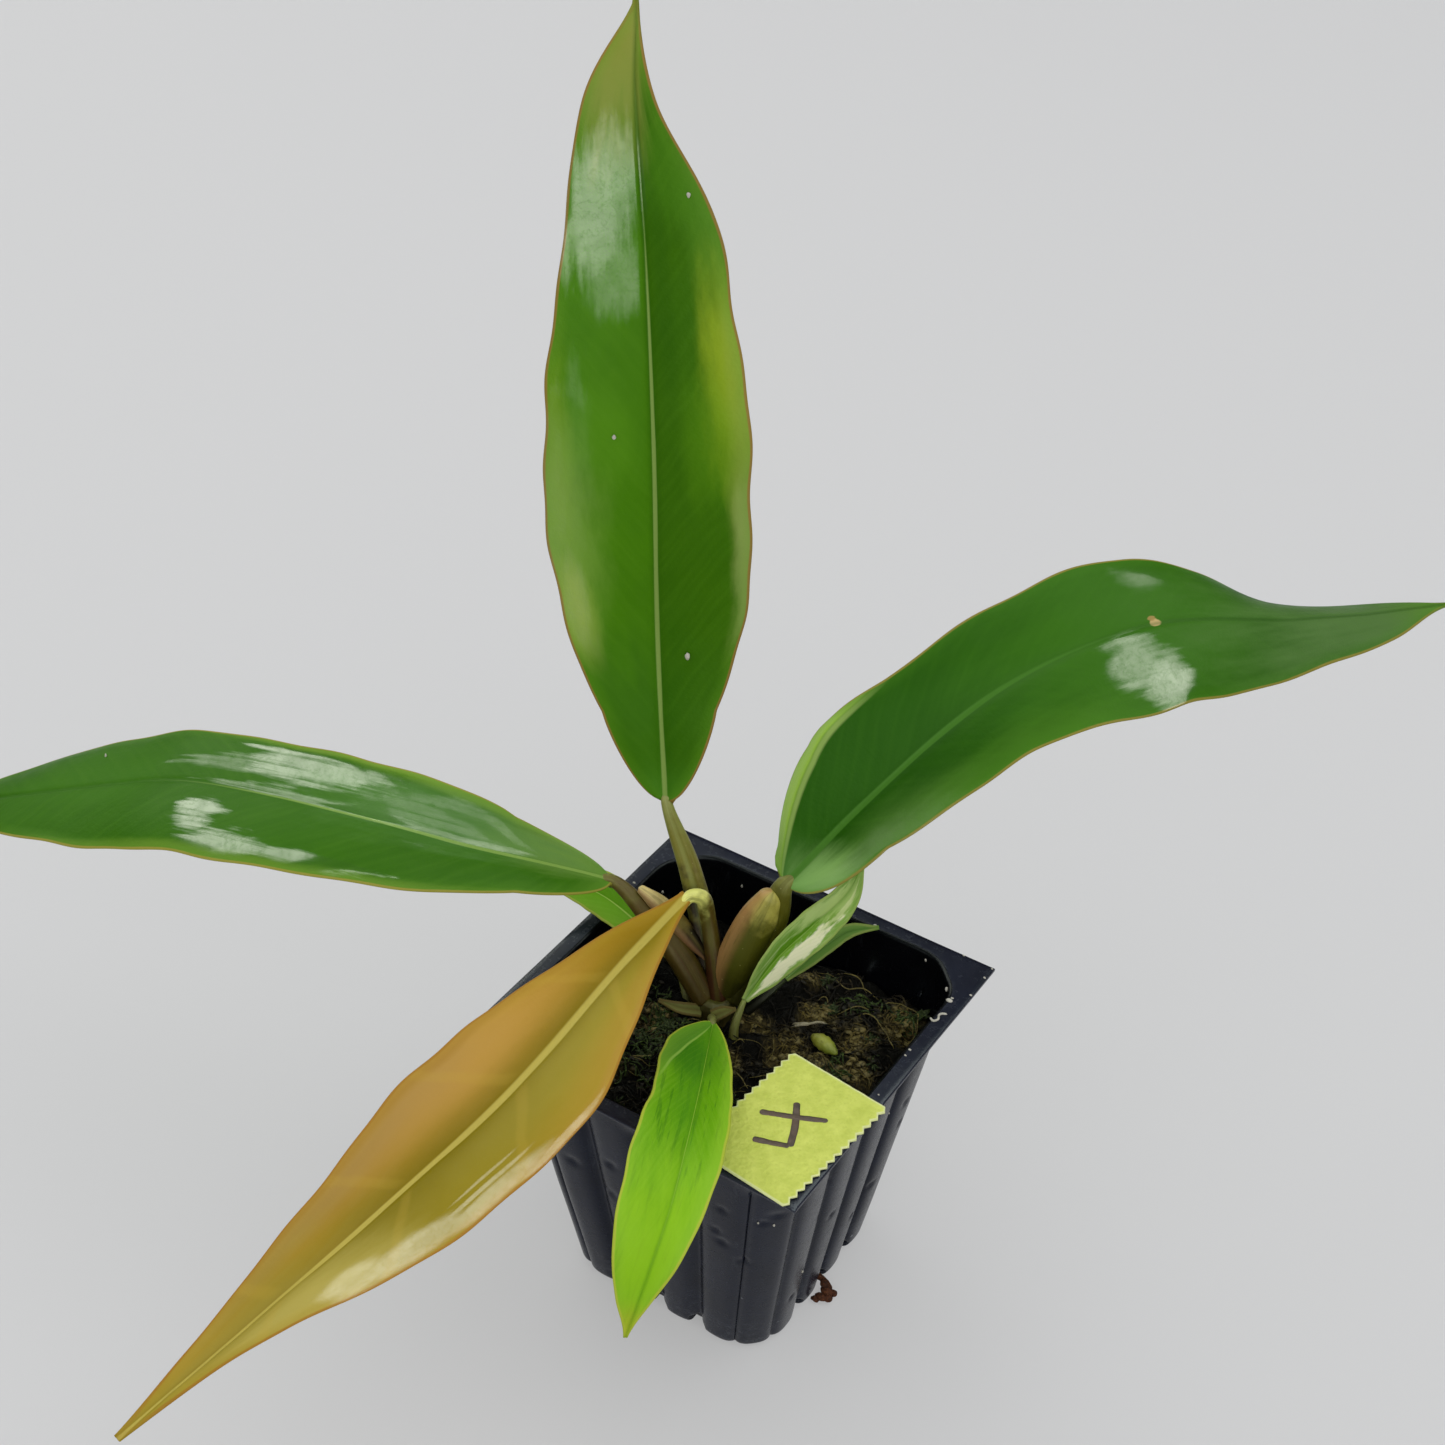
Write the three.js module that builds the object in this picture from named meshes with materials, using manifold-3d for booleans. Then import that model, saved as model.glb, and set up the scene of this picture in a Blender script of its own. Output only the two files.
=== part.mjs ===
// Potted marbled philodendron: a young plant with four long leaves and four small ones, rooted in
// long-fibre moss in a square fluted nursery pot, with a strip of crepe tape on the rim as a label.
// Millimetres, +Z up. The origin is the middle of the pot's flat underside, and the pot's sides run
// along X and Y. The front corner of the pot, with the label, is at +X, -Y.
import * as THREE from 'three';
import { mergeVertices } from 'three/addons/utils/BufferGeometryUtils.js';
import Module from 'manifold-3d';

const wasm = await Module();
wasm.setup();

// Driving dimensions: the pot
const RIM_SIDE = 89;
const POT_HEIGHT = 80;
const OPENING_SIDE = 80;
const OPENING_CORNER = 9;
const BASE_SIDE = 57;
const BASE_CORNER = 7;
const WALL = 1.1;
const FLANGE = 1.2;
const FLUTES_PER_SIDE = 4;
const FLUTE_DEPTH = 2.1;
const FLUTE_POINTS = 4;
const COLLAR = 4;
const FOOT_ROUND = 1.8;
const NOTCH_RADIUS = 2.6;
const NOTCH_HEIGHT = 1.4;

// Driving dimensions: the moss, the roots and the crown
const CLEAR = 0.3;
const MOSS_LEVEL = 67;
const MOSS_EDGE = 63;
const MOSS_RINGS = [0.93, 0.8, 0.62, 0.42, 0.2];
const CROWN = new THREE.Vector3(-8, 5.6, 0);
const CROWN_TOP = 73;
const CROWN_RADIUS = 4.5;
const CROWN_DEPTH = 14;
const ROOTSTOCK_RADIUS = 4;
const ROOTSTOCK_LENGTH = 12;
const ROOT_RADII = [1.5, 1.3, 1.1, 0.8];

// Driving dimensions: the label
const TAPE_WIDTH = 36.5;
const TAPE_LENGTH = 25;
const TAPE_THICKNESS = 0.6;
const TAPE_TEETH = 14;
const TAPE_TOOTH = 0.9;
const TAPE_CENTRE = [31.3, -25.8];
const TAPE_TURN = -6;

// Driving dimensions: the blades
const BLADE = 0.7;
const EDGE = 0.6;
const LONG_RIB = 1.6;
const SMALL_RIB = 0.5;
const RIB_TAPER = 0.8;
const RIB_GROOVE = 0.15;
const HALF_PARTS = 12;
const FOLD_START = 0.62;
const FOLD_END = 0.76;
const WAVE_SHIFT = 0.22;
const BLADE_COLUMNS = [0, 0.07, 0.3, 0.55, 0.78, 1];
const SCALE_COLUMNS = [0, 1];
const LONG_LEAF_STEPS = 26;
const SMALL_LEAF_STEPS = 12;

// Points closer than this are one point, in mm.
const WELD = 1e-4;

const radians = THREE.MathUtils.degToRad;
const smooth = THREE.MathUtils.smoothstep;

// Finishes

function finish(color, roughness) {
  return new THREE.MeshStandardMaterial({ color, roughness, metalness: 0 });
}

const FINISH = {
  pot: finish('#1c2027', 0.38),
  moss: finish('#2c2a15', 0.95),
  roots: finish('#5a3a22', 0.8),
  stem: finish('#6c6a38', 0.5),
  petiole: finish('#6f7038', 0.45),
  sheath: finish('#8d7648', 0.45),
  bract: finish('#c9c08a', 0.6),
  leaf: finish('#2f6b20', 0.3),
  caramel: finish('#a97a2e', 0.32),
  young: finish('#5c9a24', 0.32),
  variegated: finish('#8fae5a', 0.35),
  bud: finish('#98a03a', 0.4),
  tape: finish('#c6dc54', 0.7),
};

// Closed bodies from rings of points

function bodyFromFaces(points, faces) {
  const geometry = new THREE.BufferGeometry();
  const values = points.flatMap((p) => [p.x, p.y, p.z]);
  geometry.setAttribute('position', new THREE.Float32BufferAttribute(values, 3));
  geometry.setIndex(faces.flat());
  return geometry;
}

// Joins rings of equally many points, wound anticlockwise as seen from the last ring, and closes
// both ends with a fan about the middle of the end ring.
function loft(rings) {
  const count = rings[0].length;
  const points = rings.flat();
  const faces = [];
  for (let ring = 0; ring < rings.length - 1; ring += 1) {
    for (let i = 0; i < count; i += 1) {
      const a = ring * count + i;
      const b = ring * count + ((i + 1) % count);
      faces.push([a, b, b + count], [a, b + count, a + count]);
    }
  }
  const last = (rings.length - 1) * count;
  const start = points.push(middle(rings[0])) - 1;
  const end = points.push(middle(rings[rings.length - 1])) - 1;
  for (let i = 0; i < count; i += 1) {
    const next = (i + 1) % count;
    faces.push([start, next, i], [end, last + i, last + next]);
  }
  return bodyFromFaces(points, faces);
}

function middle(ring) {
  const sum = new THREE.Vector3();
  for (const point of ring) {
    sum.add(point);
  }
  return sum.divideScalar(ring.length);
}

// Boolean cuts and joins

function toSolid(geometry) {
  const bare = geometry.clone();
  bare.deleteAttribute('normal');
  bare.deleteAttribute('uv');
  const merged = mergeVertices(bare, WELD);
  const vertProperties = new Float32Array(merged.attributes.position.array);
  const triVerts = new Uint32Array(merged.index.array);
  return new wasm.Manifold(new wasm.Mesh({ numProp: 3, vertProperties, triVerts }));
}

function toGeometry(solid) {
  const mesh = solid.getMesh();
  const geometry = new THREE.BufferGeometry();
  geometry.setAttribute('position', new THREE.BufferAttribute(mesh.vertProperties, 3));
  geometry.setIndex(new THREE.BufferAttribute(mesh.triVerts, 1));
  return geometry;
}

function join(first, ...others) {
  let solid = toSolid(first);
  for (const other of others) {
    solid = solid.add(toSolid(other));
  }
  return toGeometry(solid);
}

function cut(first, ...others) {
  let solid = toSolid(first);
  for (const other of others) {
    solid = solid.subtract(toSolid(other));
  }
  return toGeometry(solid);
}

// The pot

// One ring of the fluted wall: a square with cut corners, four lobes along each side and one lobe
// across each corner. `inset` moves the whole ring inwards.
function wallRing(z, inset) {
  const t = THREE.MathUtils.clamp(z / POT_HEIGHT, 0, 1);
  const side = THREE.MathUtils.lerp(BASE_SIDE, OPENING_SIDE + 2 * WALL, t) / 2 - inset;
  const corner = THREE.MathUtils.lerp(BASE_CORNER, OPENING_CORNER, t) - (2 - Math.SQRT2) * inset;
  const depth = FLUTE_DEPTH * smooth(POT_HEIGHT - COLLAR - z, 0, 2 * COLLAR);
  const ring = [];
  for (let quarter = 0; quarter < 4; quarter += 1) {
    const turn = (quarter * Math.PI) / 2;
    const run = [
      [side, -side + corner],
      [side, side - corner],
      [side - corner, side],
    ];
    addFlutes(ring, run[0], run[1], FLUTES_PER_SIDE, depth, turn, z);
    addFlutes(ring, run[1], run[2], 1, depth, turn, z);
  }
  return ring;
}

function addFlutes(ring, from, to, count, depth, turn, z) {
  const along = new THREE.Vector2(to[0] - from[0], to[1] - from[1]);
  const out = new THREE.Vector2(along.y, -along.x).normalize();
  const points = count * FLUTE_POINTS;
  for (let i = 0; i < points; i += 1) {
    const phase = (2 * (i % FLUTE_POINTS)) / FLUTE_POINTS - 1;
    const fall = depth * (1 - Math.sqrt(1 - phase * phase));
    const point = new THREE.Vector2(from[0], from[1]);
    point.addScaledVector(along, i / points).addScaledVector(out, -fall);
    point.rotateAround(new THREE.Vector2(), turn);
    ring.push(new THREE.Vector3(point.x, point.y, z));
  }
}

function makePot() {
  const outer = loft([
    wallRing(0, FOOT_ROUND),
    wallRing(0.3 * FOOT_ROUND, 0.3 * FOOT_ROUND),
    wallRing(FOOT_ROUND, 0),
    wallRing(POT_HEIGHT / 2, 0),
    wallRing(POT_HEIGHT - 3 * COLLAR, 0),
    wallRing(POT_HEIGHT - COLLAR, 0),
    wallRing(POT_HEIGHT - FLANGE / 2, 0),
  ]);
  const inner = loft(innerRings(0, WALL, POT_HEIGHT + 1));
  const plate = new THREE.BoxGeometry(RIM_SIDE, RIM_SIDE, FLANGE);
  plate.translate(0, 0, POT_HEIGHT - FLANGE / 2);
  return cut(join(outer, plate), inner, ...drainNotches());
}

// The rings of the pot's inside, from the floor up, moved `gap` away from the plastic.
function innerRings(gap, floor, top) {
  const inset = WALL + gap;
  return [
    wallRing(floor, inset + 0.5 * FOOT_ROUND),
    wallRing(floor + 0.6 * FOOT_ROUND, inset),
    wallRing(POT_HEIGHT / 2, inset),
    wallRing(Math.min(top, POT_HEIGHT - 3 * COLLAR), inset),
    ...(top > POT_HEIGHT ? [wallRing(POT_HEIGHT - COLLAR, inset), wallRing(top, inset)] : []),
  ];
}

// Three small arched notches along the foot of each side, one under each groove.
function drainNotches() {
  const notches = [];
  const pitch = (BASE_SIDE - 2 * BASE_CORNER) / FLUTES_PER_SIDE;
  for (let quarter = 0; quarter < 4; quarter += 1) {
    for (let groove = 1; groove < FLUTES_PER_SIDE; groove += 1) {
      const notch = new THREE.CylinderGeometry(NOTCH_RADIUS, NOTCH_RADIUS, 4 * FOOT_ROUND, 10);
      notch.rotateZ(Math.PI / 2);
      notch.translate(BASE_SIDE / 2, (groove - FLUTES_PER_SIDE / 2) * pitch, NOTCH_HEIGHT);
      notch.rotateZ((quarter * Math.PI) / 2);
      notches.push(notch);
    }
  }
  return notches;
}

// The moss and the roots in it

// Low waves in the moss: height in mm, turn per mm along X and Y, and where each starts, in radians.
const MOSS_WAVES = [
  { height: 0.65, x: 0.31, y: 0.27, start: 0.4 },
  { height: 0.65, x: 0.31, y: -0.27, start: 1.2 },
  { height: 0.8, x: 0.53, y: -0.53, start: 0 },
];

// How much higher the moss lies in the +X +Y corner, and the sums of x and y where the rise starts
// and ends.
const MOSS_RISE = { height: 2.6, from: 10, to: 60 };

function mossHeight(x, y, rim) {
  let z = MOSS_LEVEL - (MOSS_LEVEL - MOSS_EDGE) * rim ** 4;
  z += MOSS_RISE.height * smooth(x + y, MOSS_RISE.from, MOSS_RISE.to);
  for (const wave of MOSS_WAVES) {
    z += wave.height * Math.sin(wave.x * x + wave.y * y + wave.start);
  }
  return z;
}

function makeMoss(channels) {
  const sides = innerRings(CLEAR, WALL + CLEAR, MOSS_EDGE);
  const edge = sides[sides.length - 1];
  const tops = MOSS_RINGS.map((share) =>
    edge.map((point) => {
      const round = 1 - 0.25 * (1 - share);
      const x = point.x * share * round;
      const y = point.y * share * round;
      return new THREE.Vector3(x, y, mossHeight(x, y, share));
    }),
  );
  return cut(loft([...sides, ...tops]), ...channels);
}

const ROOTS = [
  [[-9, 5, 52], [2, 2, 40], [14, 0, 22], [20, -0.5, 7], [24.5, -0.3, 3.2], [30, -0.4, 2.2],
    [33, -2.4, 1.9]],
  [[-9, 5, 54], [-20, 8, 44], [-27, 14, 28], [-22, 18, 12]],
  [[-9, 5, 54], [-12, -8, 42], [-10, -20, 26], [-16, -22, 10]],
  [[-9, 5, 54], [-2, 17, 44], [8, 25, 30], [16, 22, 14]],
  [[-9, 5, 54], [6, -10, 44], [16, -22, 32], [14, -20, 16]],
];

// The rootstock ends just under the crown; `extra` makes both wider, to cut their place in the moss.
function makeRoots(extra) {
  const top = ROOTSTOCK_RADIUS + extra;
  const bottom = 0.7 * ROOTSTOCK_RADIUS + extra;
  const stock = new THREE.CylinderGeometry(top, bottom, ROOTSTOCK_LENGTH + extra, 12);
  stock.rotateX(Math.PI / 2);
  stock.translate(CROWN.x, CROWN.y, CROWN_TOP - CROWN_DEPTH - ROOTSTOCK_LENGTH / 2 - CLEAR);
  const run = { radii: ROOT_RADII, steps: 9, sides: 7, extra };
  return join(stock, ...ROOTS.map((points) => tube({ ...run, points })));
}

// Round and channelled stalks

function curveOf(points) {
  const knots = points.map((p) => new THREE.Vector3(...p));
  return new THREE.CatmullRomCurve3(knots, false, 'centripetal');
}

// Reads a short list of values spread evenly from 0 to 1, with a smooth curve between them.
function profile(values, t) {
  const last = values.length - 1;
  const place = THREE.MathUtils.clamp(t, 0, 1) * last;
  const i = Math.min(Math.floor(place), last - 1);
  const f = place - i;
  const before = values[Math.max(i - 1, 0)];
  const after = values[Math.min(i + 2, last)];
  const [a, b] = [values[i], values[i + 1]];
  const bend = 2 * before - 5 * a + 4 * b - after;
  return a + 0.5 * f * (b - before + f * (bend + f * (3 * (a - b) + after - before)));
}

// A stalk along a curve. `up` is the side with the channel, `channel` its share of the radius, and
// `wide` how much wider than deep the stalk is.
function tube({ points, radii, steps, sides, up = [0, 0, 1], channel = 0, wide = 1, extra = 0 }) {
  const curve = curveOf(points);
  const rings = [];
  for (let step = 0; step <= steps; step += 1) {
    const t = step / steps;
    const at = curve.getPointAt(t);
    const { across, face } = frameAt(curve, t, new THREE.Vector3(...up));
    const radius = profile(radii, t);
    const ring = [];
    for (let i = 0; i < sides; i += 1) {
      const angle = (2 * Math.PI * i) / sides;
      const dip = channel * radius * Math.max(0, Math.sin(angle)) ** 6;
      const offset = across.clone().multiplyScalar(-Math.cos(angle) * (radius * wide + extra));
      offset.addScaledVector(face, Math.sin(angle) * (radius - dip + extra));
      ring.push(at.clone().add(offset));
    }
    rings.push(ring);
  }
  if (extra > 0) {
    lengthen(rings, extra);
  }
  return loft(rings);
}

// Moves the two end rings outwards, so that a cutter is longer than the stalk it stands for.
function lengthen(rings, extra) {
  const ends = [
    [rings[0], rings[1]],
    [rings[rings.length - 1], rings[rings.length - 2]],
  ];
  for (const [end, next] of ends) {
    const out = middle(end).sub(middle(next)).setLength(extra);
    end.forEach((point) => point.add(out));
  }
}

// The directions across a curve and away from its upper face at `t`.
function frameAt(curve, t, up) {
  const along = curve.getTangentAt(t);
  const across = along.clone().cross(up).normalize();
  return { along, across, face: across.clone().cross(along).normalize() };
}

// Blades

// A blade is a thin body round its rib. `left` and `right` are half widths in mm, seen along the
// rib with the upper face up, and `liftLeft` and `liftRight` are the degrees by which each half
// rises from the rib; all run evenly from base to tip. `bulge` arches each half, `wave` ripples
// the margins, and `folds` bend a margin down along a stretch of one side.
function makeBlade(leaf, steps, shares = BLADE_COLUMNS) {
  const curve = curveOf(leaf.rib);
  const columns = [...shares.slice(1).reverse().map((u) => -u), ...shares];
  const sheet = [];
  for (let step = 0; step <= steps; step += 1) {
    const t = step / steps;
    const up = faceAt(leaf.faces, t);
    const frame = frameAt(curve, t, up);
    const rib = curve.getPointAt(t);
    sheet.push(columns.map((u) => bladePoint(leaf, rib, frame, t, u)));
  }
  return thicken(sheet, leaf.ribDepth ?? LONG_RIB);
}

// The direction the upper face looks in, blended from the ones given along the rib.
function faceAt(faces, t) {
  const place = t * (faces.length - 1);
  const i = Math.min(Math.floor(place), faces.length - 2);
  const next = new THREE.Vector3(...faces[i + 1]);
  return new THREE.Vector3(...faces[i]).lerp(next, place - i).normalize();
}

// The half width at `t`. `round` is how far the base swells towards an ellipse.
function halfWidth(values, t, round) {
  const width = profile(values, t);
  const share = t * (values.length - 1);
  if (share >= 1) {
    return width;
  }
  const ellipse = values[1] * Math.sqrt(1 - (1 - share) ** 2);
  return width + round * Math.max(0, ellipse - width);
}

// A point at `t` along the rib and `u` across it, from -1 at the left margin to 1 at the right.
function bladePoint(leaf, rib, frame, t, u) {
  const side = u < 0 ? -1 : 1;
  const half = halfWidth(u < 0 ? leaf.left : leaf.right, t, leaf.round ?? 0);
  const lift = profile(u < 0 ? leaf.liftLeft : leaf.liftRight, t);
  const part = (half * Math.abs(u)) / HALF_PARTS;
  let out = 0;
  let up = 0;
  for (let i = 0; i < HALF_PARTS; i += 1) {
    const share = ((i + 0.5) / HALF_PARTS) * Math.abs(u);
    const angle = radians(lift + leaf.bulge * (1 - 2 * share) + foldAt(leaf, side, t, share));
    out += Math.cos(angle) * part;
    up += Math.sin(angle) * part;
  }
  const turns = leaf.wave.count * t + leaf.wave.start + WAVE_SHIFT * side;
  up += leaf.wave.height * u * u * Math.sin(2 * Math.PI * turns);
  return rib.clone().addScaledVector(frame.across, side * out).addScaledVector(frame.face, up);
}

function foldAt(leaf, side, t, share) {
  let angle = 0;
  for (const fold of leaf.folds ?? []) {
    if (fold.side === side) {
      const inside = smooth(t, fold.from, fold.full) * (1 - smooth(t, fold.last, fold.to));
      angle -= fold.turn * inside * smooth(share, FOLD_START, FOLD_END);
    }
  }
  return angle;
}

// Gives a sheet of points its thickness, the same triangles on both faces, a raised rib below and a
// faint groove above it.
function thicken(sheet, ribDepth) {
  const rows = sheet.length;
  const count = sheet[0].length;
  const middleColumn = (count - 1) / 2;
  const top = [];
  const bottom = [];
  for (let row = 0; row < rows; row += 1) {
    for (let col = 0; col < count; col += 1) {
      const normal = sheetNormal(sheet, row, col);
      const rib = col === middleColumn ? ribDepth * (1 - (RIB_TAPER * row) / (rows - 1)) : 0;
      const body = col === 0 || col === count - 1 ? EDGE : BLADE;
      top.push(sheet[row][col].clone().addScaledVector(normal, body / 2 - RIB_GROOVE * rib));
      bottom.push(sheet[row][col].clone().addScaledVector(normal, -body / 2 - rib));
    }
  }
  const faces = [];
  const below = top.length;
  const quad = (a, b, c, d) => faces.push([a, b, c], [a, c, d]);
  for (let row = 0; row < rows - 1; row += 1) {
    for (let col = 0; col < count - 1; col += 1) {
      const a = row * count + col;
      quad(a, a + 1, a + 1 + count, a + count);
      faces.push([below + a, below + a + 1 + count, below + a + 1]);
      faces.push([below + a, below + a + count, below + a + 1 + count]);
    }
    const left = row * count;
    const right = left + count - 1;
    quad(left, left + count, below + left + count, below + left);
    quad(right + count, right, below + right, below + right + count);
  }
  const end = (rows - 1) * count;
  for (let col = 0; col < count - 1; col += 1) {
    quad(col + 1, col, below + col, below + col + 1);
    quad(end + col, end + col + 1, below + end + col + 1, below + end + col);
  }
  return bodyFromFaces([...top, ...bottom], faces);
}

function sheetNormal(sheet, row, col) {
  const before = sheet[Math.max(row - 1, 0)][col];
  const after = sheet[Math.min(row + 1, sheet.length - 1)][col];
  const left = sheet[row][Math.max(col - 1, 0)];
  const right = sheet[row][Math.min(col + 1, sheet[0].length - 1)];
  return right.clone().sub(left).cross(after.clone().sub(before)).normalize();
}

// The four long leaves

const LONG_LEAVES = {
  back: {
    rib: [[-28, 13, 118], [-36, 21, 155], [-41, 26, 200], [-49, 34, 241], [-58, 43, 272],
      [-66, 55, 284]],
    faces: [[0.45, -0.85, 0.25], [0.4, -0.85, 0.3]],
    left: [1.3, 13, 20.4, 23.6, 23.1, 20, 15.6, 8.8, 0.4],
    right: [1.3, 12.9, 20, 21.5, 21.4, 18.8, 15, 4.2, 0.4],
    liftLeft: [10, 10],
    liftRight: [10, 10],
    bulge: 9,
    wave: { height: 0.7, count: 2.5, start: 0 },
    material: FINISH.leaf,
  },
  right: {
    rib: [[2, 18, 104], [14, 32, 125], [32, 56, 149], [54, 83, 160], [77, 119, 150], [99, 163, 138]],
    faces: [[0.2, -0.5, 0.8], [0.1, -0.6, 0.8], [0.1, -0.5, 0.85]],
    round: 1,
    left: [1.3, 22.5, 17.4, 18.4, 19, 15.8, 11.5, 7, 0.4],
    right: [1.3, 12, 15.8, 18, 20.8, 18, 12.6, 8, 0.4],
    liftLeft: [12, 12, 8, 0, -8, -20, -38, -38, -20],
    liftRight: [12, 12, 8, 6, 2, 0, 0, 0, 0],
    bulge: 9,
    wave: { height: 0.6, count: 2, start: 0.3 },
    folds: [{ side: -1, from: -0.02, full: 0.02, last: 0.14, to: 0.27, turn: 75 }],
    material: FINISH.leaf,
  },
  left: {
    rib: [[-35, 1, 99], [-52, -18, 112], [-82, -34, 120], [-122, -43, 117], [-148, -47, 106],
      [-204, -55, 78]],
    faces: [[0, -0.4, 0.9], [0, -0.3, 0.9]],
    left: [1.3, 9, 15, 18, 19, 18.2, 14.6, 8.6, 0.4],
    right: [1.3, 11.6, 15.6, 16.6, 16, 15, 13, 8, 0.4],
    liftLeft: [4, 2, 0],
    liftRight: [-8, -12, -12],
    bulge: 11,
    wave: { height: 0.6, count: 2.5, start: 0.5 },
    material: FINISH.leaf,
  },
  caramel: {
    rib: [[-17, 6, 99], [-13, -19, 101], [-12, -64, 96], [-22, -108, 84], [-49, -152, 52]],
    faces: [[0.1, 0.1, 1], [0.1, -0.1, 1], [0.1, 0.3, 1]],
    left: [1.3, 5, 11.6, 17, 17, 14.8, 6.6, 1.6, 0.4],
    right: [1.3, 9, 15, 19.4, 19.6, 16, 12.6, 6.4, 0.4],
    liftLeft: [16, 16],
    liftRight: [14, 14],
    bulge: 8,
    wave: { height: 0.8, count: 2, start: 0.1 },
    material: FINISH.caramel,
  },
};

// The small leaves, each with its short stalk

const SMALL_LEAVES = {
  front: {
    rib: [[-2, -5, 76], [12, -32, 86], [21, -51, 90], [26, -64, 87], [27, -73, 77], [24, -77, 58]],
    faces: [[0.3, 0, 1], [0.4, -0.3, 1], [0.5, -0.5, 0.8]],
    round: 0.6,
    left: [0.9, 4.1, 6.2, 7.6, 8.4, 7.6, 5.7, 2.6, 0.4],
    right: [0.9, 10, 11, 10.4, 11.2, 11.8, 9.8, 5.2, 0.4],
    liftLeft: [20, 16],
    liftRight: [14, 14],
    bulge: 6,
    wave: { height: 0.2, count: 2, start: 0 },
    folds: [{ side: 1, from: -0.02, full: 0.02, last: 0.14, to: 0.22, turn: 75 }],
    stalk: [[-5.4, 1, 70], [-4.4, -1.6, 73.6], [-2.5, -4.4, 75.9]],
    material: FINISH.young,
  },
  variegated: {
    rib: [[0.6, 4.4, 77.4], [4.4, 11.6, 87], [9.6, 19.4, 95], [13.6, 25.6, 101], [13, 34, 105]],
    faces: [[0.8, -0.6, 0.4], [0.8, -0.6, 0.5]],
    left: [0.8, 3, 4.2, 4.6, 4.4, 3, 0.4],
    right: [0.8, 3, 4.4, 5, 4.6, 3, 0.4],
    liftLeft: [14, 14],
    liftRight: [14, 14],
    bulge: 5,
    wave: { height: 0.2, count: 2, start: 0 },
    stalk: [[1, -0.6, 67], [0.4, 0.8, 72], [0.5, 4, 76.8]],
    material: FINISH.variegated,
  },
  narrow: {
    rib: [[4, 17, 76], [8, 26, 81], [12, 32, 84], [17, 37, 84]],
    faces: [[0.4, -0.3, 0.9], [0.3, -0.4, 0.8]],
    left: [0.7, 2, 2.3, 1.6, 0.4],
    right: [0.7, 2, 2.3, 1.6, 0.4],
    liftLeft: [20, 20],
    liftRight: [20, 20],
    bulge: 4,
    wave: { height: 0, count: 1, start: 0 },
    stalk: [[-2, 9.5, 68], [1, 12, 72], [3.7, 16.4, 75.6]],
    material: FINISH.young,
  },
  rear: {
    rib: [[-21.4, 7.6, 76], [-31, 8, 81], [-42, 8, 85], [-53, 6, 87], [-61, 7, 86]],
    faces: [[0, -0.3, 1], [0, -0.3, 1]],
    left: [0.8, 3.6, 5.4, 5.6, 4, 0.4],
    right: [0.8, 3.6, 5.4, 5.6, 4, 0.4],
    liftLeft: [12, 12],
    liftRight: [12, 12],
    bulge: 5,
    wave: { height: 0.2, count: 2, start: 0 },
    stalk: [[-15, 4, 67], [-17.4, 6, 71.6], [-20.9, 7.5, 75.7]],
    material: FINISH.young,
  },
};

// Radii of a small leaf's stalk, from its foot to the blade
const SMALL_STALK = [1.3, 1.1, 0.9];

// Stalks and sheaths of the long leaves, each starting on the crown

const PETIOLES = {
  caramel: {
    points: [[-7.4, 6, 71], [-10.6, 8, 83], [-14, 10, 93], [-15, 9.4, 97.4], [-16.6, 6.6, 99]],
    radii: [2.6, 2.2, 1.9, 1.9],
    up: [0.5, -0.85, 0.2],
    channel: 0.1,
    wide: 1,
  },
  back: {
    points: [[-10, 8, 71], [-15, 11, 86], [-21, 13, 101], [-27.6, 13, 117.5]],
    radii: [3.4, 3, 2.5, 2],
    up: [0.5, -0.85, 0.2],
    channel: 0.35,
    wide: 1.15,
  },
  right: {
    points: [[-6, 8, 71], [-4, 12, 81], [-0.5, 16.4, 92], [1.8, 17.8, 103.6]],
    radii: [3.2, 3.3, 3.1, 2.6],
    up: [0.2, -0.6, 0.8],
    channel: 0.2,
    wide: 1,
  },
  left: {
    points: [[-10, 4.6, 71], [-17, 4, 81.5], [-25.4, 3, 91], [-34.6, 1.2, 98.8]],
    radii: [3.2, 3.2, 2.7, 2],
    up: [0, -0.3, 1],
    channel: 0.2,
    wide: 1,
  },
};

const SHEATHS = {
  right: {
    points: [[-8, 9.5, 72], [-8.4, 13, 81], [-6.6, 17.6, 91], [-4.6, 20, 98]],
    radii: [2.6, 3.6, 4, 3.4, 1.2],
    up: [0.4, -0.8, 0.3],
    channel: 0,
    wide: 1.4,
  },
  left: {
    points: [[-12, 8, 80.5], [-18, 7, 87], [-24, 5, 94], [-28.6, 3.4, 98]],
    radii: [0.6, 1.7, 2.1, 1.9, 0.9],
    up: [0, -0.3, 1],
    channel: 0.2,
    wide: 1.2,
  },
};

// Small dry leaf scales at the foot of the crown
const BRACTS = {
  left: [[-9.4, 1.6, 70.6], [-13.2, -2, 72.4], [-18, -3.6, 73.4]],
  front: [[-4.6, -1, 73.6], [-2.4, 0, 75.4], [0.4, 1, 77]],
};
const BRACT = {
  faces: [[0.3, -0.6, 0.8], [0.3, -0.6, 0.8]],
  left: [1.5, 1.3, 0.4],
  right: [1.5, 1.3, 0.4],
  liftLeft: [10, 10],
  liftRight: [10, 10],
  bulge: 0,
  wave: { height: 0, count: 1, start: 0 },
  ribDepth: 0.2,
};
const BRACT_STEPS = 5;

// A plump bud that lies on the moss
const BUD = { length: 8.4, radius: 1.9, at: [19.8, 9, 70], turn: -40 };

// The crown's outline from the bottom up: shares of its radius, and mm below its top.
const CROWN_OUTLINE = [
  [0.8, CROWN_DEPTH],
  [0.95, 8],
  [1.08, 6.5],
  [0.95, 5],
  [1, 2],
  [0.6, 0],
];

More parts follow.
